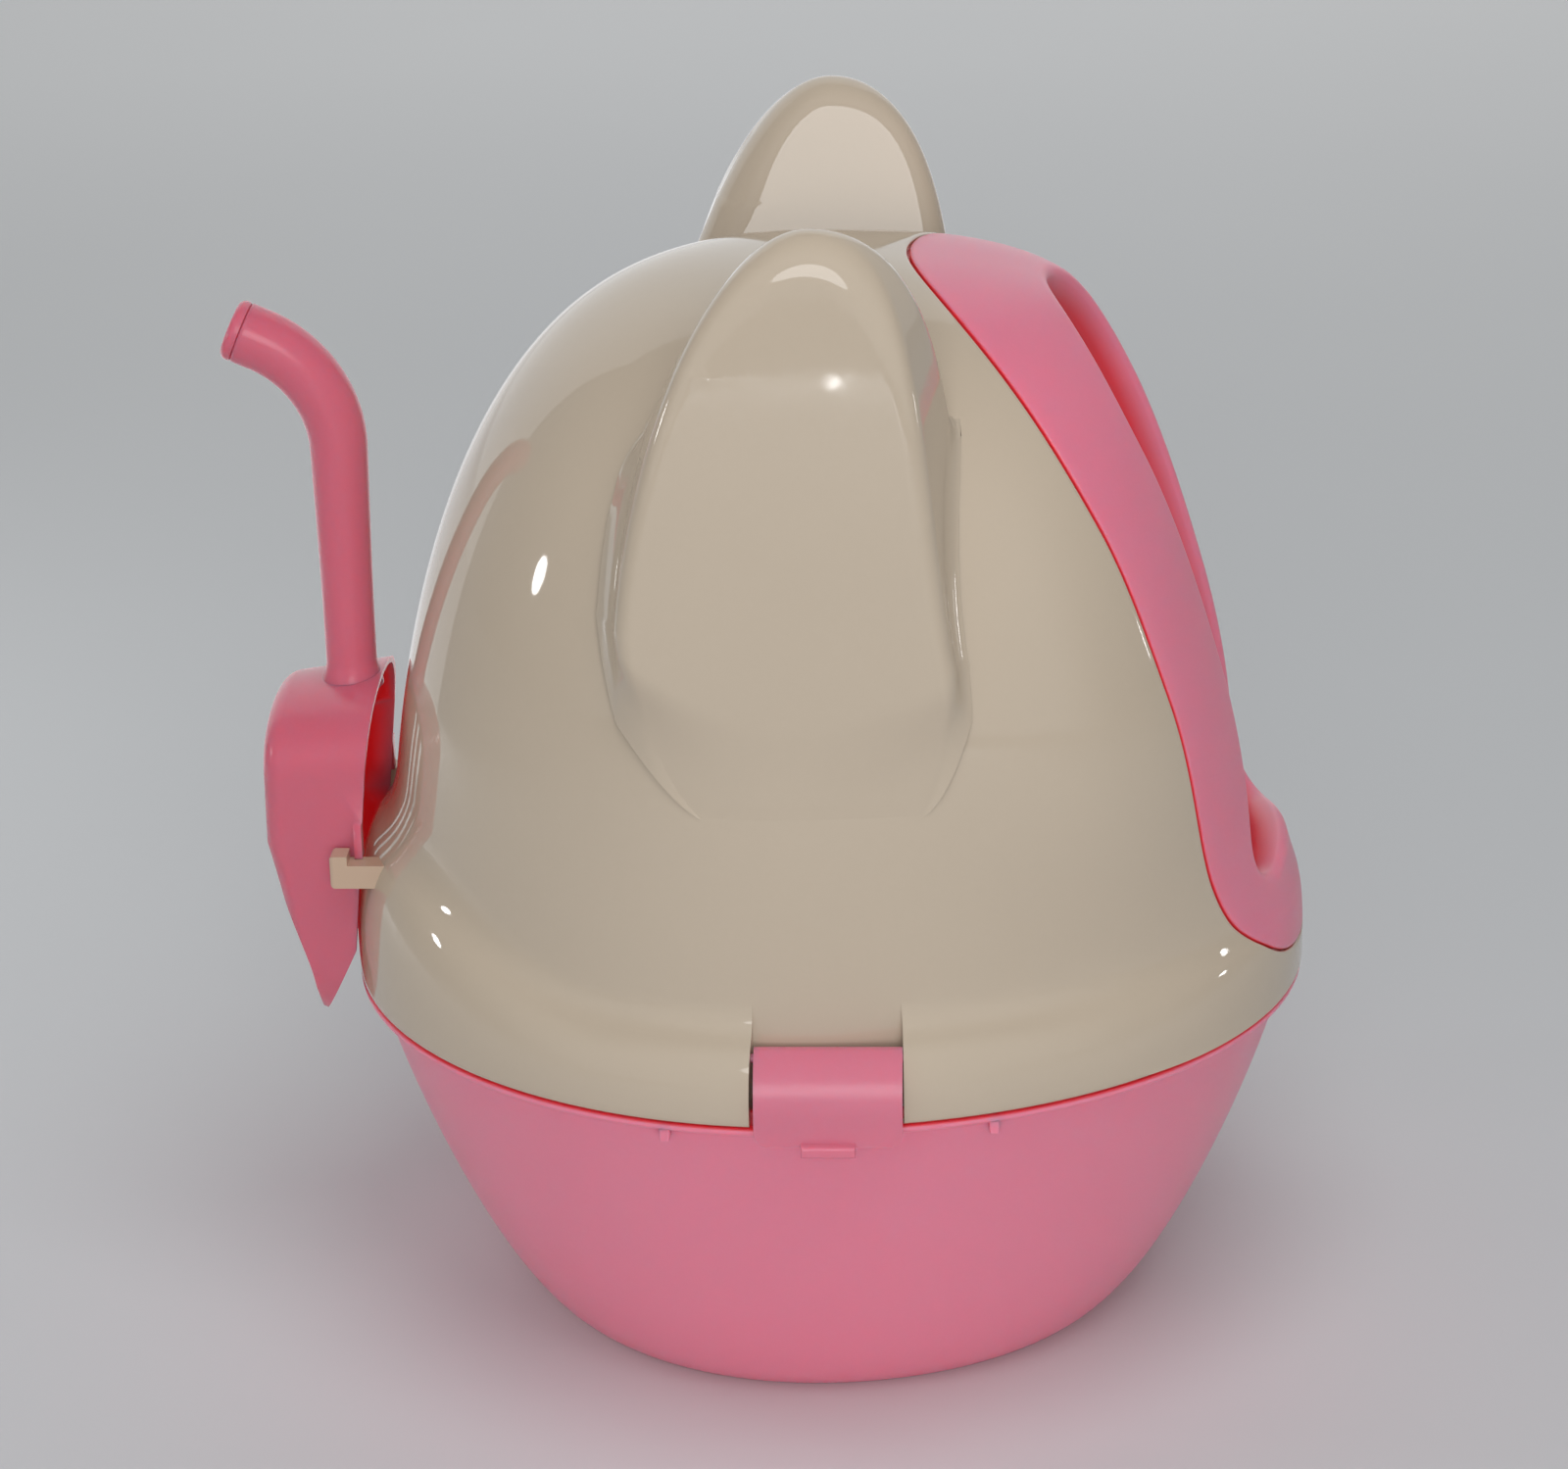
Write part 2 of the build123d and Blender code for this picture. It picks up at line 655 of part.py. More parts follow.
def dish(inset):
    """The scoop's body from its rim to its floor with rounded floor edges, drawn in by inset."""
    floor_x = SCOOP_FLOOR_X + inset
    body = skin([arch(SCOOP_RIM_TOP_X + inset, inset), arch(floor_x, inset + SCOOP_DRAFT)])
    floor = body.faces().sort_by(Axis.X)[0]
    return fillet(floor.edges(), SCOOP_FLOOR_ROUND - inset)


def side_cut(corners):
    """A solid that holds everything inside a side-view outline of x, z corners."""
    points = [(x, -2 * SCOOP_HALF, z) for x, z in corners]
    return slab(Wire.make_polygon(points, close=True), (0, 4 * SCOOP_HALF, 0))


def scoop_hull(inset):
    """The scoop's body with its slanted front floor, drawn in by inset."""
    run = SCOOP_FLOOR_X - SCOOP_TIP_X
    rise = SCOOP_BEND_Z - SCOOP_TIP_Z
    slant = (run**2 + rise**2) ** 0.5
    tip_x = SCOOP_TIP_X + inset * rise / slant
    tip_z = SCOOP_TIP_Z - inset * run / slant
    far = (tip_x + 2 * run, tip_z + 2 * rise)
    above = SCOOP_TOP + SCOOP_ARCH
    rear = ((tip_x - run, tip_z - rise), far, (far[0], above), (SCOOP_RIM_TOP_X + SCOOP_ARCH, above))
    return dish(inset) & side_cut(rear)


def make_pan(hull):
    """The scoop's pan: a thin dish with sifting slots, hanging nubs and a socket for the handle."""
    rim = (
        (SCOOP_RIM_TOP_X, SCOOP_TOP),
        (SCOOP_RIM_LOW_X, SCOOP_SHOULDER_Z),
        (SCOOP_TIP_X, SCOOP_TIP_Z),
        (SCOOP_FLOOR_X - SCOOP_ARCH, SCOOP_TIP_Z),
        (SCOOP_FLOOR_X - SCOOP_ARCH, SCOOP_TOP),
    )
    pan = hull & side_cut(rim)
    pan -= scoop_hull(SCOOP_WALL)
    for number in range(SLOT_COUNT):
        y = (number - (SLOT_COUNT - 1) / 2) * SLOT_PITCH
        pan -= slot(y)
    pan += both_sides(nub())
    pan -= spigot(SPIGOT_GAP)
    return pan


def slot(y):
    """One sifting slot through the scoop's floor, round at both ends."""
    depth = (SCOOP_FLOOR_X - SCOOP_WALL, SCOOP_FLOOR_X + 2 * SCOOP_WALL)
    top = SLOT_TOP - SLOT_WIDTH / 2
    bottom = SLOT_TOP - SLOT_LENGTH + SLOT_WIDTH / 2
    opening = block(depth, (y - SLOT_WIDTH / 2, y + SLOT_WIDTH / 2), (bottom, top))
    opening += rod_along_x(depth, y, top, SLOT_WIDTH / 2)
    return opening + rod_along_x(depth, y, bottom, SLOT_WIDTH / 2)


def nub():
    """The upright rib on the scoop's left side that rests on a hook."""
    bottom = HOOK_SEAT_Z + NUB_REST
    return block(
        (NUB_X - NUB_THICK / 2, NUB_X + NUB_THICK / 2),
        (SCOOP_HALF - NUB_ROOT, SCOOP_HALF + NUB_REACH),
        (bottom, bottom + NUB_HEIGHT),
    )


def spigot(gap):
    """The round tenon under the handle, grown by gap for its socket."""
    bottom = SCOOP_TOP - SPIGOT_LENGTH
    length = SPIGOT_LENGTH + HANDLE_SINK
    return Pos(HANDLE_X, 0, bottom + length / 2) * Cylinder(SPIGOT_R + gap, length)


def handle_stations():
    """Places along the handle: x, z, lean from upright in degrees and radius."""
    foot = SCOOP_TOP - HANDLE_SINK
    bend_length = HANDLE_BEND_R * radians(HANDLE_BEND_TURN)
    straight = HANDLE_BEND_Z - foot
    grow = (HANDLE_END_R - HANDLE_FOOT_R) / (straight + bend_length)
    stations = []
    for step in range(HANDLE_STEPS):
        run = step / HANDLE_STEPS * straight
        stations.append((HANDLE_X, foot + run, 0.0, HANDLE_FOOT_R + grow * run))
    for step in range(HANDLE_STEPS + 1):
        share = step / HANDLE_STEPS
        lean = share * HANDLE_BEND_TURN
        turn = radians(lean)
        x = HANDLE_X - HANDLE_BEND_R * (1 - cos(turn))
        z = HANDLE_BEND_Z + HANDLE_BEND_R * sin(turn)
        stations.append((x, z, lean, HANDLE_FOOT_R + grow * (straight + share * bend_length)))
    return stations


def handle_plane(distance):
    """A plane across the handle, at a distance past the end of its bend."""
    x, z, lean = handle_stations()[-1][:3]
    turn = radians(lean)
    place = (x - distance * sin(turn), 0, z + distance * cos(turn))
    return Plane(place, x_dir=(0, 1, 0), z_dir=(-sin(turn), 0, cos(turn)))


def handle_body(stations, thin):
    """A round bar through stations, thinner by thin in radius, up to the end of the bend."""
    circles = []
    for x, z, lean, radius in stations:
        turn = radians(lean)
        plane = Plane((x, 0, z), x_dir=(0, 1, 0), z_dir=(-sin(turn), 0, cos(turn)))
        circles.append(Wire.make_circle(radius - thin, plane))
    return skin(circles)


def tail_rod(start, end, radius):
    """A round rod along the straight tail of the handle, from start to end past the bend."""
    plane = handle_plane(start)
    return slab(Wire.make_circle(radius, plane), plane.z_dir * (end - start))


def make_handle(hull):
    """The scoop's handle: a bent tube that sits on the pan, with a tenon under it."""
    stations = handle_stations()
    handle = handle_body(stations, 0) + tail_rod(0, HANDLE_TAIL, HANDLE_END_R)
    handle -= hull
    handle += spigot(0)
    handle -= handle_body(stations[1:], HANDLE_WALL)
    return handle - tail_rod(0, HANDLE_TAIL + CAP_LENGTH, HANDLE_END_R - HANDLE_WALL)


def make_cap():
    """The plug-in end cap of the handle."""
    cap = tail_rod(HANDLE_TAIL, HANDLE_TAIL + CAP_LENGTH, HANDLE_END_R)
    cap = fillet(cap.edges().sort_by(Axis.X)[0], CAP_ROUND)
    return cap + tail_rod(HANDLE_TAIL - CAP_PLUG, HANDLE_TAIL, HANDLE_END_R - HANDLE_WALL - CAP_GAP)


def hook_peg(gap):
    """The peg of the left hook, grown by gap for its hole in the hood."""
    middle = HOOK_INNER_Y + HOOK_WIDTH / 2
    half_width = PEG_WIDTH / 2 + gap
    half_height = PEG_HEIGHT / 2 + gap
    return block(
        (HOOK_STEP_X, PEG_END_X),
        (middle - half_width, middle + half_width),
        (PEG_Z - half_height, PEG_Z + half_height),
    )


def make_hook(outer):
    """The left hook: an arm with a raised end, its root cut to the hood's back, on a square peg."""
    width = (HOOK_INNER_Y, HOOK_INNER_Y + HOOK_WIDTH)
    arm = block((HOOK_TIP_X, HOOK_ROOT_X), width, (HOOK_BOTTOM, HOOK_SEAT_Z))
    arm += block((HOOK_TIP_X, HOOK_STEP_X), width, (HOOK_BOTTOM, HOOK_TIP_Z))
    arm = fillet(arm.edges().group_by(Axis.X)[0], HOOK_ROUND)
    return (arm - outer) + hook_peg(0)


def write(node, piece):
    """Save one piece under its node's name."""
    export_step(piece, f"parts/{node}.step")


def main():
    outer = hood_form(0)
    inner_deep = hood_form(DOOR_LIP_DEPTH)
    hull = scoop_hull(0)
    latch = make_latch()
    hook = make_hook(outer)
    write("base_tray", make_tray())
    write("hood", make_hood(outer))
    write("front_panel", make_panel(outer, inner_deep))
    write("latch_left", latch)
    write("latch_right", mirror(latch, about=Plane.XZ))
    write("scoop_pan", make_pan(hull))
    write("scoop_handle", make_handle(hull))
    write("scoop_handle_cap", make_cap())
    write("scoop_hook_left", hook)
    write("scoop_hook_right", mirror(hook, about=Plane.XZ))


if __name__ == "__main__":
    main()
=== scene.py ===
import math
import bmesh
import bpy
import numpy as np
from bpy.props import FloatProperty, FloatVectorProperty, PointerProperty
from mathutils import Matrix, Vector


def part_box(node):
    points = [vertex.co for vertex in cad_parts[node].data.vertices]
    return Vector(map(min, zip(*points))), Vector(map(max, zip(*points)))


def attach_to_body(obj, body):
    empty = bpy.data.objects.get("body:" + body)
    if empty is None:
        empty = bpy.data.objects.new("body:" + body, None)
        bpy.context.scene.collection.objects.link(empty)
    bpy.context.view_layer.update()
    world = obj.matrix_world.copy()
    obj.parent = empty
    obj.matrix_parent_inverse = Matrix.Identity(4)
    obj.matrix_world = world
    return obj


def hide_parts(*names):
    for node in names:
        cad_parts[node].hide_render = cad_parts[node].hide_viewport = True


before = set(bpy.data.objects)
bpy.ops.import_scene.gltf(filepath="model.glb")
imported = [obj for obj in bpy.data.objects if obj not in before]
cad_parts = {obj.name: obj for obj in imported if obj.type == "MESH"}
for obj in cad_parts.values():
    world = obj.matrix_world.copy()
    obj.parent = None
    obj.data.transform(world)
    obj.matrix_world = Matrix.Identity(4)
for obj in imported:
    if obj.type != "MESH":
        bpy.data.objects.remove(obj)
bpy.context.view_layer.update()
TRAY_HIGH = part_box("base_tray")[1]
HOOD_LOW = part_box("hood")[0]

bl_info = {
    "name": "Hooded litter box",
    "version": (1, 0, 0),
    "blender": (4, 5, 0),
    "location": "View3D > Sidebar > Litter box",
    "description": "Dresses the litter box: tray, hood with ears, front panel, latches and scoop",
    "category": "Object",
}

TURN = 2 * math.pi

# Plan of the rim and its flange, with the gussets under it
WIDEST_X = -0.010
RIM_REACH = 0.2
FLANGE = 0.0033
GUSSETS_X = (-0.059, 0.069)
GUSSET_INSET = 0.0014

# The hood's wall above the brim, its front profile and the two ends of a latch recess
WALL_BASE = 0.1871
FILLET_START = 0.1990
CHART_FOOT = 0.1625
CREST_X = -0.002
NOSE = 0.556
FRONT_PROFILE = ((-0.002, 0.455), (0.168, 0.455), (0.117, 0.424), (0.197, 0.1981), (0.197, 0.1871))
BACK_POWERS = (1.81, 3.0)
SIDE_POWERS = (2.75, 2.56)
RECESS_X = (0.0342, -0.0242)

# The tilted plane on which the panel and the entrance are drawn, and heights on it
TILT = math.radians(35)
PANEL_CENTRE_UP = 0.190
PANEL_TOP, PANEL_SHOULDER, PANEL_CORNER, PANEL_FOOT = 0.351, 0.240, 0.090, 0.022
DOOR_TOP, DOOR_SPRING, DOOR_CORNER, DOOR_SILL = 0.309, 0.244, 0.086, 0.060

# The left ear: its leaning planes, its foot, and its outlines seen from the side. Each outline has the
# brow and the nape, both with a handle above and below, and the crown's handles in front and behind.
LEAN_Z = 0.250
FACE_Y, FACE_LEAN = 0.1640, 0.055
ROOT_Y, ROOT_LEAN = 0.052, 0.30
EAR_FOOT, HEEL_Z, CLEAR_Z = 0.251, 0.262, 0.446
FACE_DROP = 0.004
EAR_FACE = (
    ((0.0550, 0.330), (0.0400, 0.394), (0.0572, 0.292)),
    ((-0.0730, 0.345), (-0.0695, 0.390), (-0.0700, 0.298)),
    (0.046, -0.046),
)
EAR_ROOT = (
    ((0.057, 0.332), (0.060, 0.462), (0.054, 0.288)),
    ((-0.082, 0.354), (-0.076, 0.402), (-0.076, 0.308)),
    (0.040, -0.028),
)

# Heights on the scoop's pan, with the place of its rim and the share of its depth that is kept
PAN_RIM = ((0.124, 0.168, 0.276), (-0.217, -0.196, -0.185))
PAN_DEPTH = (
    (0.124, 0.137, 0.148, 0.156, 0.170, 0.187, 0.213, 0.276),
    (0.30, 0.32, 0.48, 0.54, 0.66, 0.745, 0.88, 0.88),
)

# Finishes: colour, roughness, haze, grain per metre, its depth, light through the wall, refraction
MOULDINGS = {
    "cream_gloss": ("cream", 0.045, 0.02, 60.0, 0.00003, 0.0, 1.62),
    "hook_beige": ("hook", 0.22, 0.04, 300.0, 0.00003, 0.0, 1.5),
    "pink_satin": ("pink", 0.34, 0.05, 900.0, 0.00004, 0.85, 1.5),
    "pink_panel": ("panel", 0.34, 0.05, 900.0, 0.00004, 0.85, 1.5),
    "pink_gloss": ("scoop", 0.24, 0.05, 500.0, 0.00003, 0.85, 1.5),
    # The latches' pink is a darker copy of the tray's pink: painted shade that keeps them from showing
    # brighter than the tray.
    "pink_latch_shaded": ("latch", 0.26, 0.05, 500.0, 0.00003, 0.6, 1.5),
}
SMALL_LOOKS = {"latch": "pink_latch_shaded", "scoop_hook": "hook_beige"}

# Lamps: name, place, aim, width and height, power, whether it lights, whether it is mirrored
LAMPS = (
    ("front_soft", (0.5, -4.55, 0.75), (0, 0, 0.20), (3.0, 1.4), 54.0, True, False),
    ("front_card", (0.08, -3.20, 1.60), (0, 0, 0.40), (1.8, 1.35), 18.0, True, True),
    ("front_spark", (-0.02, -1.10, 0.345), (0, -0.15, 0.44), (0.010, 0.010), 0.004, True, True),
    ("top_soft", (0.25, -0.75, 2.15), (0, 0, 0.2), (1.5, 1.5), 16.0, True, False),
    ("left_soft", (-1.65, -0.12, 0.62), (0, 0, 0.25), (0.12, 0.16), 0.9, True, True),
    ("right_soft", (1.62, 0.10, 0.36), (0, 0, 0.25), (0.08, 0.10), 0.25, True, True),
    ("back_soft", (-1.3, 0.55, 0.40), (-0.21, 0, 0.22), (0.5, 0.5), 2.5, True, False),
    ("far_soft", (0.0, 3.4, 2.2), (0, 3.0, 0.0), (3.0, 1.5), 11.0, True, False),
    ("back_card", (-0.35, 0.5, 0.76), (-0.35, 0.0, 0.76), (1.3, 1.5), 2.9, False, True),
)

# The camera: its rise, swing and roll, what it looks at, how far off it is, and its lens in pixels
CAMERA_RISE, CAMERA_SWING, CAMERA_ROLL = math.radians(21.0), math.radians(2.82), math.radians(-1.18)
CAMERA_AIM = (-0.0179, 0.0, 0.2463)
CAMERA_DISTANCE = 1.7034
LENS_PIXELS, PHOTO_PIXELS = 4150, 1600
SENSOR = 36.0


def length(name, default, description):
    """A size in metres that the user can change."""
    return FloatProperty(name=name, description=description, default=default, precision=4, unit="LENGTH")


def tint(name, default, description):
    """A colour in linear light that the user can change."""
    return FloatVectorProperty(
        name=name, description=description, default=default, subtype="COLOR", size=3, min=0.0, max=1.0
    )


class TraySizes(bpy.types.PropertyGroup):
    """Sizes of the egg-shaped tray."""

    half_length: length("Half length", RIM_REACH, "From the middle to either end of the rim")
    half_width: length("Half width", TRAY_HIGH.y + 0.0004, "From the middle to the side of the rim")
    rim_height: length("Rim height", TRAY_HIGH.z - 0.006, "Top of the flange above the floor")
    lip_top: length("Lip top", TRAY_HIGH.z, "Top of the upright lip that the hood sits round")
    wall: length("Wall", 0.003, "Thickness of the tray's wall")


class HoodSizes(bpy.types.PropertyGroup):
    """Sizes of the hood and its ears."""

    bottom: length("Bottom", HOOD_LOW.z, "Lower edge of the brim above the floor")
    top: length("Top", 0.455, "Crest of the dome above the floor")
    half_width: length("Half width", 0.165, "Half the width of the wall above the brim")
    back: length("Back", 0.183, "How far the wall reaches behind the middle")
    wall: length("Wall", 0.003, "Thickness of the hood's wall")
    ear_top: length("Ear top", 0.498, "Height of the ears before their edges are rounded")
    ear_round: length("Ear edge", 0.0065, "Radius of the ears' rounded edges")
    ear_blend_front: length("Ear front blend", 0.010, "Width of the soft join at the ear's front")
    ear_blend_back: length("Ear back blend", 0.020, "Width of the soft join at the ear's back")


class PanelSizes(bpy.types.PropertyGroup):
    """Sizes of the front panel and the entrance in it."""

    half: length("Half width", 0.105, "Half the panel's width at its shoulders")
    foot_half: length("Half width at the foot", 0.094, "Half the panel's width low down")
    gap: length("Gap", 0.0007, "Gap between the panel and the hood")
    door_half_top: length("Door half width, top", 0.0605, "Half the entrance's width where its arch springs")
    door_half_bottom: length("Door half width, sill", 0.0615, "Half the entrance's width at its sill")
    lip_round: length("Lip radius", 0.0042, "Radius of the rolled lip round the entrance")


class ScoopSizes(bpy.types.PropertyGroup):
    """Sizes of the scoop's grip."""

    grip_x: length("Grip place", -0.198, "Where the grip stands behind the middle")
    foot: length("Grip foot", 0.270, "Height where the grip leaves the pan")
    bend_height: length("Bend height", 0.373, "Height where the grip starts to bend back")
    bend_radius: length("Bend radius", 0.050, "Radius of the bend's centre line")
    bend_turn: FloatProperty(
        name="Bend", description="How far the grip turns back", default=math.radians(66), subtype="ANGLE"
    )
    tail: length("Tail", 0.008, "Straight length after the bend")
    grip_radius: length("Grip radius, foot", 0.0106, "Radius of the grip at its foot")
    end_radius: length("Grip radius, end", 0.0128, "Radius of the grip at its end")
    cap: length("Cap", 0.005, "Length of the cap at the grip's end")
    cap_round: length("Cap edge", 0.0035, "Radius of the cap's edge")


class Finishes(bpy.types.PropertyGroup):
    """Colours of the mouldings and of the floor."""

    cream: tint("Hood cream", (0.508, 0.420, 0.324), "Glossy plastic of the hood")
    hook: tint("Hook beige", (0.51, 0.365, 0.265), "Plastic of the two hooks")
    pink: tint("Tray pink", (0.95, 0.242, 0.345), "Satin plastic of the tray")
    panel: tint("Panel pink", (0.80, 0.212, 0.310), "Satin plastic of the front panel")
    scoop: tint("Scoop pink", (0.61, 0.136, 0.200), "Plastic of the scoop")
    # Darker than the tray's pink, though the latches show the same pink: painted shade.
    latch: tint("Latch pink", (0.67, 0.190, 0.272), "Plastic of the two latches")
    floor: tint("Floor", (0.62, 0.635, 0.65), "Plain pale floor")


def smooth(low, high, value):
    """Smooth step: 0 below low, 1 above high, 3t^2 - 2t^3 between."""
    t = np.clip((value - low) / (high - low), 0, 1)
    return t * t * (3 - 2 * t)


def bezier(points, t):
    """Points of a Bezier curve at the parameters t: the control points weighted by Bernstein terms."""
    points = np.asarray(points, float)
    degree = len(points) - 1
    weights = [math.comb(degree, i) * t**i * (1 - t) ** (degree - i) for i in range(degree + 1)]
    return np.stack(weights, -1) @ points


def unit(vectors):
    """Vectors scaled to length one."""
    return vectors / np.maximum(np.linalg.norm(vectors, axis=-1, keepdims=True), 1e-12)


def quads(rows, columns, wrap_rows, wrap_columns):
    """Corner numbers of the faces of a grid, closed on itself along either way where asked."""
    i = np.arange(rows if wrap_rows else rows - 1)[:, None]
    j = np.arange(columns if wrap_columns else columns - 1)[None, :]
    below, right = (i + 1) % rows, (j + 1) % columns
    corners = (i * columns + j, i * columns + right, below * columns + right, below * columns + j)
    return np.stack(np.broadcast_arrays(*corners), -1).reshape(-1, 4)


def weld(mesh, gap, sliver=None):
    """Merges a mesh's doubles, takes out slivers below a size, and turns its faces outwards."""
    shape = bmesh.new()
    shape.from_mesh(mesh)
    bmesh.ops.remove_doubles(shape, verts=shape.verts, dist=gap)
    if sliver:
        bmesh.ops.dissolve_degenerate(shape, edges=shape.edges, dist=sliver)
    bmesh.ops.recalc_face_normals(shape, faces=shape.faces)
    shape.to_mesh(mesh)
    shape.free()


def set_painted_glow(mesh, values):
    """Writes the painted red glow at each point of a mesh: colour that stands in for shade lit through the
    pink plastic.
    """
    mesh.attributes.new("painted_glow", "FLOAT", "POINT").data.foreach_set("value", values)


def add_piece(name, mesh, sharp):
    """A smooth object in the scene, with the edges kept that are sharper than an angle."""
    mesh.polygons.foreach_set("use_smooth", np.ones(len(mesh.polygons), bool))
    mesh.set_sharp_from_angle(angle=math.radians(sharp))
    piece = bpy.data.objects.new(name, mesh)
    bpy.context.scene.collection.objects.link(piece)
    return piece


def build_piece(name, grids, sharp=35.0, painted_glow=None):
    """One mesh object from grids of points, each with its two flags for closing; doubles are merged.
    painted_glow gives for each row of the first grid how much painted red glow its colour has, standing in
    for shade lit through the plastic."""
    vertices, faces, start = [], [], 0
    for points, wrap_rows, wrap_columns in grids:
        rows, columns = points.shape[:2]
        vertices.append(points.reshape(-1, 3))
        faces.append(quads(rows, columns, wrap_rows, wrap_columns) + start)
        start += rows * columns
    mesh = bpy.data.meshes.new(name)
    mesh.from_pydata(np.concatenate(vertices), [], np.concatenate(faces))
    if painted_glow is not None:
        shade = np.zeros(start, np.float32)
        columns = grids[0][0].shape[1]
        shade[: len(painted_glow) * columns] = np.repeat(painted_glow, columns)
        set_painted_glow(mesh, shade)
    weld(mesh, 2e-6, 1e-7)
    return add_piece(name, mesh, sharp)


def attach(piece, body, material, nodes=()):
    """Lets a piece ride on a body, stand for CAD nodes and take its finish."""
    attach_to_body(piece, body)
    if nodes:
        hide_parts(*nodes)
    piece.data.materials.clear()
    piece.data.materials.append(material)


class Value:
    """A shader socket that takes part in Python expressions; each operation adds a Math node."""

    def __init__(self, tree, socket):
        self.tree = tree
        self.socket = socket

    def node(self, kind, settings, inputs, output=0):
        """A node of any type: its settings first, then the values or links of its sockets."""
        made = self.tree.nodes.new(kind)
        for key, value in settings.items():
            setattr(made, key, value)
        for key, value in inputs.items():
            if isinstance(value, Value):
                self.tree.links.new(value.socket, made.inputs[key])
            else:
                made.inputs[key].default_value = value
        return Value(self.tree, made.outputs[output])

    def maths(self, operation, first, second):
        """A Math node on two values."""
        return self.node("ShaderNodeMath", {"operation": operation}, {0: first, 1: second})

    def __add__(self, other):
        return self.maths("ADD", self, other)

    def __mul__(self, other):
        return self.maths("MULTIPLY", self, other)

    __radd__ = __add__
    __rmul__ = __mul__


def new_tree(name):
    """An empty material, its output node and a first value to build expressions from."""
    material = bpy.data.materials.new(name)
    material.use_nodes = True
    tree = material.node_tree
    tree.nodes.clear()
    out = tree.nodes.new("ShaderNodeOutputMaterial")
    place = tree.nodes.new("ShaderNodeTexCoord")
    return material, out, Value(tree, place.outputs["Object"])


def noise(place, scale, detail=2.0):
    """Noise between 0 and 1 at so many waves to the metre."""
    return place.node(
        "ShaderNodeTexNoise", {}, {"Vector": place, "Scale": scale, "Detail": detail, "Roughness": 0.5}
    )


def blended(share, first, second):
    """A mix of two colours by a share."""
    return share.node("ShaderNodeMix", {"data_type": "RGBA"}, {0: share, 6: first, 7: second}, 2)


def moulded_plastic(name, colour, roughness, haze, grain, grain_depth, depth, reflection):
    """Moulded plastic: cloudy pigment, redder where the attribute painted_glow says so (a painted red glow
    that stands in for shade lit by light passing through the pink wall), hazy patches in the gloss, a fine
    grain in the skin and a share of light that travels through the wall."""
    material, out, place = new_tree(name)
    cloud = noise(place, 9.0, 3.0)
    fleck = noise(place, 420.0, 1.0)
    dark = (*[c * 0.955 for c in colour], 1.0)
    light = (*[min(1.0, c * 1.03) for c in colour], 1.0)
    pigment = blended(cloud * 0.8 + fleck * 0.2, dark, light)
    # Painted red glow: where the attribute is set, the pigment turns a saturated red that stands in for
    # shaded hollows and gaps lit by light bounced in and passing through the pink plastic.
    within = place.node("ShaderNodeAttribute", {"attribute_name": "painted_glow"}, {}, 2)
    glow_red = (min(0.97, colour[0] * 1.6), colour[1] * 0.18, colour[2] * 0.19, 1.0)
    pigment = blended(within, pigment, glow_red)
    patches = noise(place, 26.0, 4.0)
    gloss = patches * haze + (roughness - haze / 2)
    skin = noise(place, grain, 2.0)
    bump = place.node("ShaderNodeBump", {}, {"Strength": 1.0, "Distance": grain_depth, "Height": skin})
    looks = {
        "Base Color": pigment,
        "Roughness": gloss,
        "Normal": bump,
        "IOR": reflection,
        "Subsurface Weight": depth,
        "Subsurface Radius": (1.0, 0.22, 0.18),
        "Subsurface Scale": 0.010,
    }
    shader = place.node("ShaderNodeBsdfPrincipled", {}, looks)
    place.tree.links.new(shader.socket, out.inputs["Surface"])
    return material


def plain_matt(name, colour):
    """Matt paper-like stage surface with a faint cloud in its colour, and painted light: paler with the
    distance behind, standing in for brighter light on the far floor.
    """
    material, out, place = new_tree(name)
    cloud = noise(place, 1.5, 2.0)
    behind = place.node("ShaderNodeSeparateXYZ", {}, {0: place}, 1)
    # Painted light: the colour turns paler with the distance behind, in place of the far floor's brighter
    # lighting.
    painted_far_light = place.node(
        "ShaderNodeMapRange",
        {"interpolation_type": "SMOOTHSTEP"},
        {0: behind, "From Min": -0.3, "From Max": 3.0, "To Min": 0.0, "To Max": 0.9},
    )
    far = (*[min(1.0, c * 1.75) for c in colour], 1.0)
    pale = blended(painted_far_light + cloud * 0.08, (*colour, 1.0), far)
    looks = {"Base Color": pale, "Roughness": 0.6, "Specular IOR Level": 0.0}
    shader = place.node("ShaderNodeBsdfPrincipled", {}, looks)
    place.tree.links.new(shader.socket, out.inputs["Surface"])
    return material


def rim_points(turn, scale, inset, sizes):
    """x and y of the rim's egg, scaled about the origin and drawn in: two half ellipses of one width."""
    widest = WIDEST_X * scale
    along = np.cos(turn)
    ahead = sizes.half_length * scale - inset - widest
    behind = sizes.half_length * scale - inset + widest
    x = widest + np.where(along > 0, ahead, behind) * along
    return x, (sizes.half_width * scale - inset) * np.sin(turn)


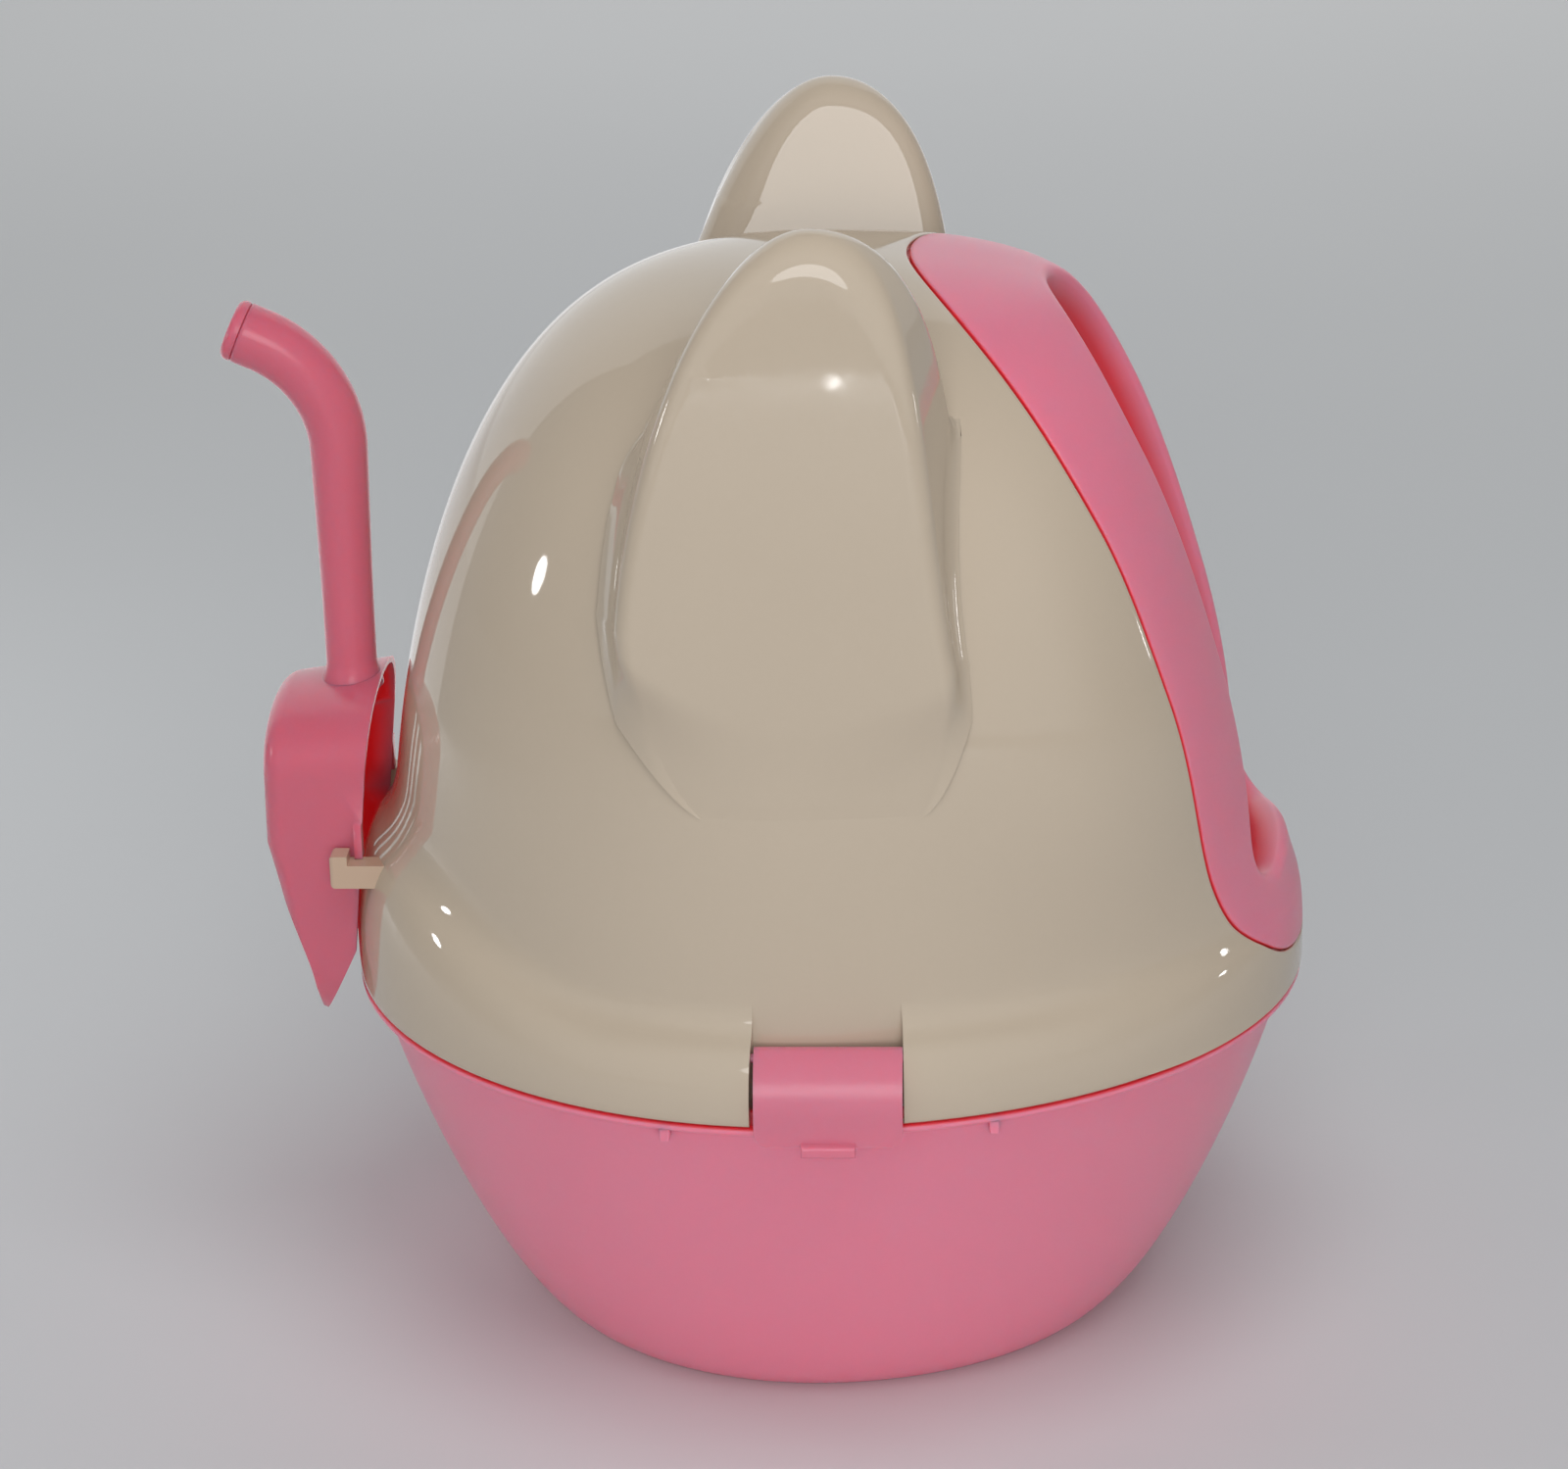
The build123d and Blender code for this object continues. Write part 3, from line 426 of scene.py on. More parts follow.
def tray_grid(sizes):
    """The tray: a profile of scale, inset and height, from the middle of the bottom over the flange and
    the lip to the middle of the inside, carried round the rim's egg. Each row's painted red glow comes
    with it: from the flange's top edge up, standing in for the red shade in the gap under the hood's brim."""
    under = sizes.rim_height - FLANGE
    share = np.linspace(0, 1, 64) ** 1.8
    fill = (1 - (1 - share) ** 1.13) ** (1 / 1.44)
    scale = 0.60 + 0.365 * fill
    zero = np.zeros_like(share)
    arc = np.linspace(-math.pi / 2, math.pi / 2, 9)
    top = np.linspace(0, math.pi, 11)
    one = np.ones(9)
    edge_inset = 0.0004 + 0.0014 * (1 - np.cos(arc))
    edge_z = (under + sizes.rim_height) / 2 + 0.00165 * np.sin(arc)
    lip_z = sizes.lip_top - 0.0015 + 0.0015 * np.sin(top)
    lip_inset = 0.0055 - 0.0015 * np.cos(top)
    bottom = np.array([(0, 0, 0), (0.2, 0, 0), (0.4, 0, 0), (0.55, 0, 0), (0.59, 0, 0)])
    foot = np.array([(0.965, 0, under), (1.0, 0.0040, under + 0.0001)])
    flange = np.array([(1.0, 0.0028, sizes.rim_height), (1.0, 0.0040, sizes.rim_height)])
    inner_top = np.array([(1.0, 0.0070, sizes.rim_height - 0.001)])
    wall = np.stack([scale, zero, under * share], -1)
    inside = np.stack([scale, zero + sizes.wall, sizes.wall + (under - sizes.wall) * share], -1)[::-3]
    floor = np.array([(0.5, 0.002, sizes.wall), (0.3, 0.001, sizes.wall), (0, 0, sizes.wall)])
    edge = np.stack([one, edge_inset, edge_z], -1)
    lip = np.stack([np.ones(11), lip_inset, lip_z], -1)
    rows = np.concatenate([bottom, wall, foot, edge, flange, lip, inner_top, inside, floor])
    turn = np.linspace(0, TURN, 360, endpoint=False)[None, :]
    x, y = rim_points(turn, rows[:, 0:1], rows[:, 1:2], sizes)
    z = np.broadcast_to(rows[:, 2:3], x.shape)
    # Painted red glow from the flange's top edge up: stands in for the red shade in the gap under the brim.
    painted_glow = smooth(sizes.rim_height - 0.0012, sizes.rim_height - 0.0002, rows[:, 2])
    return np.stack([x, y, z], -1), painted_glow


def rounded_block(low, high, radius, steps=6):
    """A block with rounded edges: each point of a small ball is pushed out to the nearest corner."""
    low, high = np.asarray(low, float), np.asarray(high, float)
    middle = (low + high) / 2
    ease = np.linspace(0, math.pi / 2, steps)
    around = np.concatenate([ease + k * math.pi / 2 for k in range(4)])
    up = np.concatenate([ease - math.pi / 2, ease])[:, None]
    side = np.repeat(np.arange(4), steps)
    level = np.repeat([-1.0, 1.0], steps)[:, None]
    ball = (np.cos(up) * np.cos(around), np.cos(up) * np.sin(around), np.sin(up))
    corner = (np.array([1, -1, -1, 1])[side], np.array([1, 1, -1, -1])[side], level)
    ball, corner = (np.stack(np.broadcast_arrays(*axes), -1) for axes in (ball, corner))
    grid = middle + corner * ((high - low) / 2 - radius) + radius * ball
    first = np.repeat(middle[None, None, :], len(around), 1)
    last = first.copy()
    first[..., 2], last[..., 2] = low[2], high[2]
    return np.concatenate([first, grid, last])


def front_profile():
    """Samples of the hood's front profile, heights rising: a quartic curve from the crest to the brim."""
    points = bezier(FRONT_PROFILE, np.linspace(0, 1, 1500))[::-1]
    return points[:, 0], points[:, 1]


FRONT_X, FRONT_Z = front_profile()


def wall_section(z, inset, sizes):
    """Middle, front reach, back reach and half width of the dome's section at height z."""
    top = sizes.top - inset
    share = np.clip((z - WALL_BASE) / (top - WALL_BASE), 0, 1)
    back_fill = (1 - share ** BACK_POWERS[0]) ** (1 / BACK_POWERS[1])
    side_fill = (1 - share ** SIDE_POWERS[0]) ** (1 / SIDE_POWERS[1])
    middle = CREST_X + (WIDEST_X - CREST_X) * back_fill
    stretched = WALL_BASE + share * (sizes.top - WALL_BASE)
    front = np.interp(stretched, FRONT_Z, FRONT_X) - inset * back_fill
    back = CREST_X - (sizes.back - inset + CREST_X) * back_fill
    return middle, front - middle, middle - back, (sizes.half_width - inset) * side_fill


def squareness(along, z):
    """Exponent of the section's outline: 2, an ellipse, at the back and low down, squarer in front above."""
    return 2 + NOSE * smooth(0.0, 0.7, along) * smooth(0.190, 0.300, z)


def wall_points(turn, z, inset, sizes):
    """x and y on the dome at height z: y = half * (1 - |cos|^n)^(1/n), with n rising towards the front."""
    middle, ahead, behind, half = wall_section(z, inset, sizes)
    along = np.cos(turn)
    power = squareness(along, z)
    x = middle + np.where(along > 0, ahead, behind) * along
    y = half * np.maximum(1 - np.abs(along) ** power, 0) ** (1 / power) * np.sign(np.sin(turn))
    return x, y


def brim_profile(sizes):
    """Heights, falling, and reach (0 at the wall, 1 at the rim) of the brim: a small hollow fillet, a
    quarter round, then a straight band."""
    start = sizes.bottom + 0.007
    rise = WALL_BASE - start
    ease = math.radians(66)
    meet = np.array([math.cos(ease), start + rise * math.sin(ease)])
    slope = rise * math.cos(ease) / math.sin(ease)
    hollow = bezier([(0, FILLET_START), (0, meet[1] + slope * meet[0]), meet], np.linspace(0, 1, 9))
    turn = np.linspace(ease, 0, 14)[1:]
    quarter = np.stack([np.cos(turn), start + rise * np.sin(turn)], -1)
    straight = np.array([(1, sizes.bottom + 0.0046), (1, sizes.bottom + 0.0018)])
    rows = np.concatenate([hollow, quarter, straight])
    return rows[:, 1], rows[:, 0]


def off_front(turn):
    """How far a turn points away from the front, 0 to half a turn."""
    return np.abs((turn + math.pi) % TURN - math.pi)


def brim_stretch(turn):
    """How much taller the brim's roll is than at the sides: it rises round the back."""
    return 1 + 0.95 * smooth(math.radians(112), math.radians(160), off_front(turn))


def low_edge(turn, sizes):
    """Height where the dome's chart ends: above the brim at the sides and back, below it in front."""
    lift = smooth(math.radians(36), math.radians(62), off_front(turn))
    above = sizes.bottom + (FILLET_START - sizes.bottom) * brim_stretch(turn)
    return CHART_FOOT + (above - CHART_FOOT) * lift


def hood_points(turn, z, inset, sizes, tray, recess=0.0):
    """Points of the hood's outer face: the dome's outline drawn out towards the rim's by the brim's
    reach at that height; recess takes the reach away."""
    heights, reach = brim_profile(sizes)
    level = sizes.bottom + (z - sizes.bottom) / brim_stretch(turn)
    share = np.interp(level, heights[::-1], reach[::-1]) * (1 - recess)
    x, y = wall_points(turn, z, inset, sizes)
    rim_x, rim_y = rim_points(turn, 1.0, inset, tray)
    return np.stack(np.broadcast_arrays(x + (rim_x - x) * share, y + (rim_y - y) * share, z), -1)


def dome_points(chart, inset, sizes, tray):
    """Points of the dome from a disc: the angle gives the turn, the radius the height from crest to foot."""
    radius = np.hypot(chart[..., 0], chart[..., 1])
    turn = np.arctan2(chart[..., 1], chart[..., 0])
    foot = low_edge(turn, sizes)
    z = foot + (sizes.top - inset - foot) * np.cos(np.clip(radius, 0, 1) * math.pi / 2) ** 0.727
    return hood_points(turn, z, inset, sizes, tray)


def to_chart(across, up, sizes, tray):
    """Places on the dome's disc that show at (across, up) on the tilted plane, found by Newton steps."""
    chart = np.stack([0.95 - (up - 0.028) * 2.0, across * 4.2], -1)
    step = 1e-5

    def seen(place):
        points = dome_points(place, 0.0, sizes, tray)
        up_plane = points[..., 2] * math.cos(TILT) - points[..., 0] * math.sin(TILT)
        return np.stack([points[..., 1], up_plane], -1)

    goal = np.stack([across, up], -1)
    for _ in range(40):
        here = seen(chart)
        by_x = (seen(chart + (step, 0)) - here) / step
        by_y = (seen(chart + (0, step)) - here) / step
        gap = goal - here
        det = by_x[..., 0] * by_y[..., 1] - by_x[..., 1] * by_y[..., 0]
        det = np.where(np.abs(det) < 1e-9, 1e-9, det)
        move_x = (gap[..., 0] * by_y[..., 1] - gap[..., 1] * by_y[..., 0]) / det
        move_y = (by_x[..., 0] * gap[..., 1] - by_x[..., 1] * gap[..., 0]) / det
        chart = chart + np.clip(np.stack([move_x, move_y], -1), -0.06, 0.06)
        radius = np.linalg.norm(chart, axis=-1, keepdims=True)
        chart = chart * np.minimum(1, 0.998 / np.maximum(radius, 1e-9))
    return chart


def dome_normals(chart, sizes, tray):
    """Outward normals of the dome, from the cross product of its two chart tangents."""
    step = 1e-4
    tangents = [
        dome_points(chart + move, 0.0, sizes, tray) - dome_points(chart - move, 0.0, sizes, tray)
        for move in (np.array([step, 0]), np.array([0, step]))
    ]
    return unit(np.cross(*tangents))


def star_loop(chains, angles):
    """A mirrored outline, given as curves of one half, as points seen at angles from the panel's centre."""
    t = np.linspace(0, 1, 200)
    half = np.concatenate([bezier(chain, t) for chain in chains])
    whole = np.concatenate([half, half[::-1] * (-1, 1)]) - (0, PANEL_CENTRE_UP)
    bearing = np.unwrap(np.arctan2(whole[:, 1], whole[:, 0]))
    order = np.argsort(bearing % TURN, kind="stable")
    reach = np.interp(angles, (bearing % TURN)[order], np.hypot(*whole.T)[order], period=TURN)
    return np.stack([reach * np.cos(angles), reach * np.sin(angles) + PANEL_CENTRE_UP], -1)


def panel_chains(sizes):
    """Half of the panel's outline on the tilted plane: a rounded top, a side that swells a little and a
    foot with a rounded corner."""
    half, foot = sizes.half, sizes.foot_half
    shoulder, corner = (half - 0.001, PANEL_SHOULDER), (foot, PANEL_CORNER)
    return (
        ((0, PANEL_TOP), (0.55 * half, PANEL_TOP), (half - 0.005, 0.310), shoulder),
        (shoulder, (half + 0.0015, 0.196), (foot + 0.015, 0.140), corner),
        (corner, (foot - 0.016, 0.040), (0.060, 0.024), (0, PANEL_FOOT)),
    )


def door_chains(sizes):
    """Half of the entrance's outline: an arch, a side drawn in a little below it, a rounded corner and
    the sill."""
    top, low = sizes.door_half_top, sizes.door_half_bottom
    spring, corner, sill = (top, DOOR_SPRING), (low, DOOR_CORNER), (low - 0.026, DOOR_SILL)
    return (
        ((0, DOOR_TOP), (0.5523 * top, DOOR_TOP), (top, 0.2817), spring),
        (spring, (top, 0.196), (low - 0.012, 0.150), corner),
        (corner, (low + 0.002, 0.069), (low - 0.010, DOOR_SILL), sill),
        (sill, (0, DOOR_SILL)),
    )


def even_angles(sizes, count):
    """Bearings from the panel's centre that divide its outline into equal lengths."""
    fine = np.linspace(0, TURN, 4000)
    loop = star_loop(panel_chains(sizes), fine)
    run = np.concatenate([[0], np.cumsum(np.linalg.norm(np.diff(loop, axis=0), axis=1))])
    return np.interp(np.linspace(0, run[-1], count, endpoint=False), run, fine)


def outward(loop):
    """Outward normals of a closed plane loop that runs anticlockwise."""
    along = unit(np.roll(loop, -1, 0) - np.roll(loop, 1, 0))
    return np.stack([along[:, 1], -along[:, 0]], -1)


def panel_grid(sizes, hood, tray):
    """The front panel: rows between the panel's outline and the entrance's, each with a growth and a depth
    below the dome: a hidden flange, a rounded edge, the face, the rolled lip and the inside. Each row's
    painted red glow comes with it: round the edge sunk in the gap and inside the lip, standing in for shade
    lit through the pink plastic."""
    angles = even_angles(sizes, 420)
    outer = star_loop(panel_chains(sizes), angles)
    inner = star_loop(door_chains(sizes), angles)
    grow_outer, grow_inner = outward(outer), outward(inner)
    r = sizes.lip_round
    arc = np.linspace(0, math.pi / 2, 9)
    edge = 0.0010
    rows = [(1, 0.0045, 0.0052), (1, 0.0045, 0.0036), (1, 0.0, 0.0036), (1, 0.0, 0.0022)]
    rows += [(1, -edge * (1 - math.cos(a)), edge * (1 - math.sin(a))) for a in arc[::2]]
    rows += [(1 - w, None, 0.0) for w in np.linspace(0, 1, 30)[1:-1]]
    rows += [(0, r * (1 - math.sin(a)) + 0.0006, r * (1 - math.cos(a))) for a in arc]
    rows += [(0, 0.0004, 0.0120), (0, 0.0003, 0.0185), (0, 0.0008, 0.0193), (0, 0.0018, 0.0196)]
    rows += [(0, 0.0028, 0.0190), (0, 0.0032, 0.0120), (0, 0.0034, 0.0060), (0, 0.0050, 0.0036)]
    rows += [(0, 0.0080, 0.0028)]
    rows += [(0.5, None, 0.0028), (0.9, None, 0.0028), (1, -0.008, 0.0030), (1, -0.004, 0.0052)]
    flat, depths = [], []
    for share, grow, depth in rows:
        if grow is None:
            start = inner + grow_inner * (r + 0.0006)
            end = outer - grow_outer * edge
            flat.append(start + (end - start) * share)
        elif share == 1:
            flat.append(outer + grow_outer * grow)
        else:
            flat.append(inner + grow_inner * grow)
        depths.append(depth)
    flat = np.stack(flat)
    chart = to_chart(flat[..., 0], flat[..., 1], hood, tray)
    points = dome_points(chart, 0.0, hood, tray)
    depths = np.array(depths)
    near_edge = np.array([share == 1 for share, _, _ in rows])
    # Painted red glow on the edge rows sunk into the gap and on the rows deep inside the lip: stands in for
    # shade lit through the pink plastic.
    painted_glow = np.where(near_edge, smooth(0.0001, 0.0008, depths), smooth(0.0030, 0.0080, depths))
    return points - dome_normals(chart, hood, tray) * depths[:, None, None], painted_glow


def recess_columns(turn, sizes):
    """Order of the hood's columns, doubled at the ends of the two latch recesses, and 1 where a column is
    in a recess; the nearest turns are moved onto those ends."""
    cuts = []
    for side in (1, -1):
        front = math.acos((RECESS_X[0] - WIDEST_X) / (RIM_REACH - WIDEST_X))
        back = math.acos((RECESS_X[1] - WIDEST_X) / (sizes.back + WIDEST_X))
        pair = []
        for cut in (front, back):
            nearest = int(np.argmin(np.abs(turn - side * cut)))
            turn[nearest] = side * cut
            pair.append(nearest)
        cuts.append(sorted(pair))
    lows, highs = np.array(cuts).T
    column = np.arange(len(turn))
    within = ((column[:, None] >= lows) & (column[:, None] <= highs)).any(-1)
    first, last = np.isin(column, lows), np.isin(column, highs)
    order = np.repeat(column, 1 + (first | last))
    twin = np.diff(order, prepend=-1) == 0
    outside = (first[order] & ~twin) | (last[order] & twin)
    return order, np.where(outside, 0.0, within[order])


def hood_grid(sizes, panel, tray):
    """The hood's skin: rays on the dome's disc from the panel's outline to the foot, then the brim's rows,
    the bottom edge and the inside; the brim's reach is taken away in the two latch recesses."""
    angles = even_angles(panel, 420)
    outline = star_loop(panel_chains(panel), angles)
    grow = outward(outline)
    edge = 0.0011
    arc = np.linspace(0, math.pi / 2, 5)
    lips = [(panel.gap, sizes.wall), (panel.gap, 0.0022)]
    lips += [(panel.gap + edge * (1 - math.cos(a)), edge * (1 - math.sin(a))) for a in arc]
    flat = np.stack([outline + grow * g for g, _ in lips])
    lip_chart = to_chart(flat[..., 0], flat[..., 1], sizes, tray)
    depth = np.array([d for _, d in lips])[:, None, None]
    lip_rows = dome_points(lip_chart, 0.0, sizes, tray) - dome_normals(lip_chart, sizes, tray) * depth
    start = lip_chart[-1]
    centre = to_chart(np.array([0.0]), np.array([PANEL_CENTRE_UP]), sizes, tray)[0]
    ray = unit(start - centre)
    lean = (start * ray).sum(-1)
    reach = -lean + np.sqrt(lean**2 + 1 - (start**2).sum(-1))
    end = start + ray * reach[:, None]
    turn = np.arctan2(end[:, 1], end[:, 0])
    order, recess = recess_columns(turn, sizes)
    end = np.stack([np.cos(turn), np.sin(turn)], -1)
    spread = np.linspace(0, 1, 84)[1:, None, None]
    chart = (start + (end - start) * spread)[:, order]
    face = dome_points(chart, 0.0, sizes, tray)
    heights, _ = brim_profile(sizes)
    foot = low_edge(turn, sizes)[order]
    stretch = (foot - sizes.bottom) / (heights[0] - sizes.bottom)
    z = sizes.bottom + (heights[1:, None] - sizes.bottom) * stretch
    brim = hood_points(turn[order], z, 0.0, sizes, tray, recess)
    hem = np.array([(0.0003, 0.0008), (0.0011, 0.0001), (0.0019, 0.0001), (0.0027, 0.0008)])
    hem_rows = [
        hood_points(turn[order], np.full(len(order), sizes.bottom + rise), inset, sizes, tray, recess)
        for inset, rise in hem
    ]
    wide = np.maximum(np.maximum(np.roll(recess, 1), recess), np.roll(recess, -1))
    inside_brim = hood_points(turn[order], z[::-3], sizes.wall, sizes, tray, wide)
    inside_face = dome_points(chart[::-4], sizes.wall, sizes, tray)
    return np.concatenate([lip_rows[:, order], face, brim, np.stack(hem_rows), inside_brim, inside_face])


def dome_gap(points, sizes):
    """Distance outside the dome, and the outward direction, from the gradient of its implicit outline."""

    def level(place):
        middle, ahead, behind, half = wall_section(np.minimum(place[..., 2], sizes.top - 0.004), 0.0, sizes)
        along = place[..., 0] - middle
        along = along / np.where(along > 0, ahead, behind)
        power = squareness(along, place[..., 2])
        return (np.abs(along) ** power + np.abs(place[..., 1] / half) ** power) ** (1 / power) - 1

    step = 2e-5
    slope = [(level(points + step * axis) - level(points - step * axis)) / (2 * step) for axis in np.eye(3)]
    slope = np.stack(slope, -1)
    size = np.maximum(np.linalg.norm(slope, axis=-1), 1e-9)
    far = np.where(points[..., 2] > CLEAR_Z, 1.0, level(points) / size)
    return far, slope / size[..., None]


def face_y(x, z, sizes):
    """Depth of the left ear's outer face: a leaning plane that curls back at the crown, and that sinks
    towards the heel so that it stands no higher over the dome than a height that fades out."""
    plane = FACE_Y - FACE_LEAN * (z - LEAN_Z) - 0.25 * np.maximum(z - 0.375, 0) ** 2
    middle, ahead, behind, half = wall_section(np.minimum(z, 0.430), 0.0, sizes)
    along = (x - middle) / np.where(x > middle, ahead, behind)
    power = squareness(along, z)
    dome = half * np.maximum(1 - np.abs(along) ** power, 0) ** (1 / power)
    rise = np.maximum(z - HEEL_Z, 0) / 0.1
    limit = 0.006 * rise**2 + 0.05 * rise**3 - 0.0004 * smooth(0.285, 0.252, z)
    proud = plane - dome
    soft = 0.003 * smooth(HEEL_Z, 0.310, z) + 0.0002
    mix = np.clip(0.5 + 0.5 * (limit - proud) / soft, 0, 1)
    return dome + limit + (proud - limit) * mix - soft * mix * (1 - mix)


def root_y(x, z):
    """Depth of the left ear's inner face: a leaning plane that bulges in its middle."""
    return ROOT_Y + ROOT_LEAN * (z - LEAN_Z) - 0.0012 * (1 - (x / 0.05) ** 2)


def tongue(sizes, t, face):
    """The left ear's side outline at its outer face or at its wider root: four Bezier quarters."""
    top = sizes.ear_top - FACE_DROP if face else sizes.ear_top
    brow_points, nape_points, (ahead, behind) = EAR_FACE if face else EAR_ROOT
    brow, over_brow, under_brow = brow_points
    nape, over_nape, under_nape = nape_points
    crown, heel = (0.001, top), (0.004, EAR_FOOT)
    quarters = (
        (crown, (ahead, top), over_brow, brow),
        (brow, under_brow, (0.059, EAR_FOOT), heel),
        (heel, (-0.058, EAR_FOOT), under_nape, nape),
        (nape, over_nape, (behind, top), crown),
    )
    x, z = np.concatenate([bezier(quarter, t) for quarter in quarters]).T
    return np.stack([x, face_y(x, z, sizes) if face else root_y(x, z), z], -1)


def inward(loop):
    """Directions, seen from the side, from a loop towards an upright line up its middle."""
    spine = np.stack([np.full(len(loop), -0.004), loop[:, 1], np.clip(loop[:, 2], 0.315, 0.425)], -1)
    return unit(spine - loop)


def ear_columns(sizes):
    """The left ear as a closed body, with its normals: each column runs from the middle of the outer face
    over an elliptic edge, along the side and over the inner edge to the middle of the inner face."""
    t = np.linspace(0, 1, 100, endpoint=False)
    outer, inner = tongue(sizes, t, True), tongue(sizes, t, False)
    run = unit(inner - outer)
    face_in, back_in = inward(outer), inward(inner)
    crown = smooth(0.440, 0.490, outer[:, 2:])
    rear = smooth(0.010, -0.045, outer[:, :1]) * (1 - crown)
    edge_in = sizes.ear_round * (1 + 1.2 * crown)
    edge_down = sizes.ear_round * (1 + 0.6 * crown)
    back_edge = sizes.ear_round * (1.9 + 0.7 * rear)
    arc = np.linspace(0, math.pi / 2, 40)[:, None, None]
    middle, hidden = outer.mean(0), inner.mean(0)
    hidden[1] = root_y(hidden[0], hidden[2])
    face_start = outer + edge_in * face_in
    face = middle + (face_start - middle) * np.linspace(0, 1, 120)[:-1, None, None]
    face[..., 1] = face_y(face[..., 0], face[..., 2], sizes)
    roll = outer + edge_in * (1 - np.sin(arc)) * face_in
    roll[..., 1] = face_y(roll[..., 0], roll[..., 2], sizes)
    roll = roll + edge_down * (1 - np.cos(arc)) * run
    start, end = outer + edge_down * run, inner - back_edge * run
    side = start + (end - start) * np.linspace(0, 1, 160)[1:-1, None, None]
    back_roll = inner + back_edge * (1 - np.sin(arc)) * back_in
    back_roll[..., 1] = root_y(back_roll[..., 0], back_roll[..., 2])
    back_roll = (back_roll - back_edge * (1 - np.cos(arc)) * run)[::-1]
    inside = inner + back_edge * back_in
    back = hidden + (inside - hidden) * np.linspace(1, 0, 120)[1:, None, None]
    back[..., 1] = root_y(back[..., 0], back[..., 2])
    points = np.concatenate([face, roll, side, back_roll, back])
    normal = unit(np.cross(np.roll(points, -1, 1) - np.roll(points, 1, 1), np.gradient(points, axis=0)))
    normal *= np.sign(normal[len(face) // 2, 0, 1])
    normal[0] = unit(np.array([0, 1, FACE_LEAN]))
    return points, normal


def ear_grid(sizes):
    """The left ear on the dome: each column stops where it meets the dome, and near it moves out to the
    smooth union of the two distances; its last stretch dips a little under the dome."""
    points, normal = ear_columns(sizes)
    step = np.linalg.norm(np.diff(points, axis=0), axis=-1)
    travel = np.concatenate([np.zeros((1, points.shape[1])), np.cumsum(step, axis=0)])
    far, _ = dome_gap(points, sizes)
    first = np.argmax(far < 0, axis=0)
    columns = np.arange(points.shape[1])
    before, after = far[first - 1, columns], far[first, columns]
    part = before / np.maximum(before - after, 1e-9)
    stop = travel[first - 1, columns] + part * step[first - 1, columns]
    share = 1 - (1 - np.linspace(0, 1, 96)) ** 1.7
    place = share[:, None] * stop
    row = np.stack([np.interp(place[:, c], travel[:, c], np.arange(len(points))) for c in columns], 1)
    low = np.minimum(row.astype(int), len(points) - 2)
    mix = (row - low)[..., None]
    grid = points[low, columns] * (1 - mix) + points[low + 1, columns] * mix
    normal = unit(normal[low, columns] * (1 - mix) + normal[low + 1, columns] * mix)
    far, slope = dome_gap(grid, sizes)
    lean = (normal * slope).sum(-1)
    x, y, z = np.moveaxis(grid, -1, 0)
    blend = sizes.ear_blend_front + (sizes.ear_blend_back - sizes.ear_blend_front) * smooth(0.02, -0.05, x)
    blend = blend + (0.013 - blend) * smooth(0.330, 0.270, z)
    blend = blend + (0.005 - blend) * smooth(0.120, 0.095, y)
    blend = np.maximum(blend * np.sqrt(np.clip(1 - lean**2, 0, 1)), 1e-5)
    slack = np.maximum(1 - lean, 1e-3)
    linear = 2 * slack * far + 2 * blend * (1 + lean)
    root = np.sqrt(np.maximum(linear**2 - 4 * slack**2 * (far - blend) ** 2, 0))
    move = 2 * (far - blend) ** 2 / np.maximum(linear + root, 1e-9)
    move = np.where(far < blend, np.clip(move, 0, blend), 0)
    grid = grid + normal * move[..., None]
    left = stop - place
    sink = 0.0002 * (1 - smooth(0.0, 0.008, left)) + 0.0002 * (left < 1e-5)
    return grid - slope * sink[..., None]


def mirrored(grid):
    """The same grid on the other side of the middle, with its loop turned round."""
    return (grid * (1, -1, 1))[:, ::-1]


def finishes():
    """Materials of the mouldings, made once and kept by name."""
    colours = bpy.context.scene.box_finishes
    made = bpy.data.materials
    for name, (colour, *looks) in MOULDINGS.items():
        if name not in made:
            moulded_plastic(name, getattr(colours, colour), *looks)
    return made


def standing(scene, name, data, spot, axes):
    """An object in the scene at a spot, turned so that its own axes are the ones given."""
    holder = bpy.data.objects.new(name, data)
    turned = Matrix(np.stack(axes, -1).tolist()).to_4x4()
    holder.matrix_world = Matrix.Translation(spot) @ turned
    scene.collection.objects.link(holder)
    return holder


def studio_world():
    """A pale surround, brighter in front and behind than at the sides: its strength follows the squared
    depth of the direction."""
    world = bpy.data.worlds.new("studio")
    world.use_nodes = True
    tree = world.node_tree
    tree.nodes.clear()
    out = tree.nodes.new("ShaderNodeOutputWorld")
    place = tree.nodes.new("ShaderNodeTexCoord")
    way = Value(tree, place.outputs["Generated"])
    depth = way.node("ShaderNodeSeparateXYZ", {}, {0: way}, 1)
    backdrop = way.node(
        "ShaderNodeMapRange",
        {"interpolation_type": "SMOOTHSTEP"},
        {0: depth * depth, "From Min": 0.0, "From Max": 0.5, "To Min": 0.16, "To Max": 0.50},
    )
    sky = way.node("ShaderNodeBackground", {}, {"Color": (0.95, 0.98, 1.0, 1.0), "Strength": backdrop})
    tree.links.new(sky.socket, out.inputs["Surface"])
    return world


def hang_lamps(scene):
    """The soft lamps, each turned from its spot to its aim."""
    for name, spot, aim, (width, height), power, lights, mirrored_in in LAMPS:
        lamp = bpy.data.lights.new(name, "AREA")
        lamp.shape = "ELLIPSE" if lights else "RECTANGLE"
        lamp.size = width
        lamp.size_y = height
        lamp.energy = power
        back = unit(np.subtract(spot, aim))
        right = unit(np.cross((0.001, 0.0, 1.0), back))
        holder = standing(scene, name, lamp, spot, (right, np.cross(back, right), back))
        holder.visible_camera = False
        holder.visible_diffuse = lights
        holder.visible_transmission = lights
        holder.visible_glossy = mirrored_in


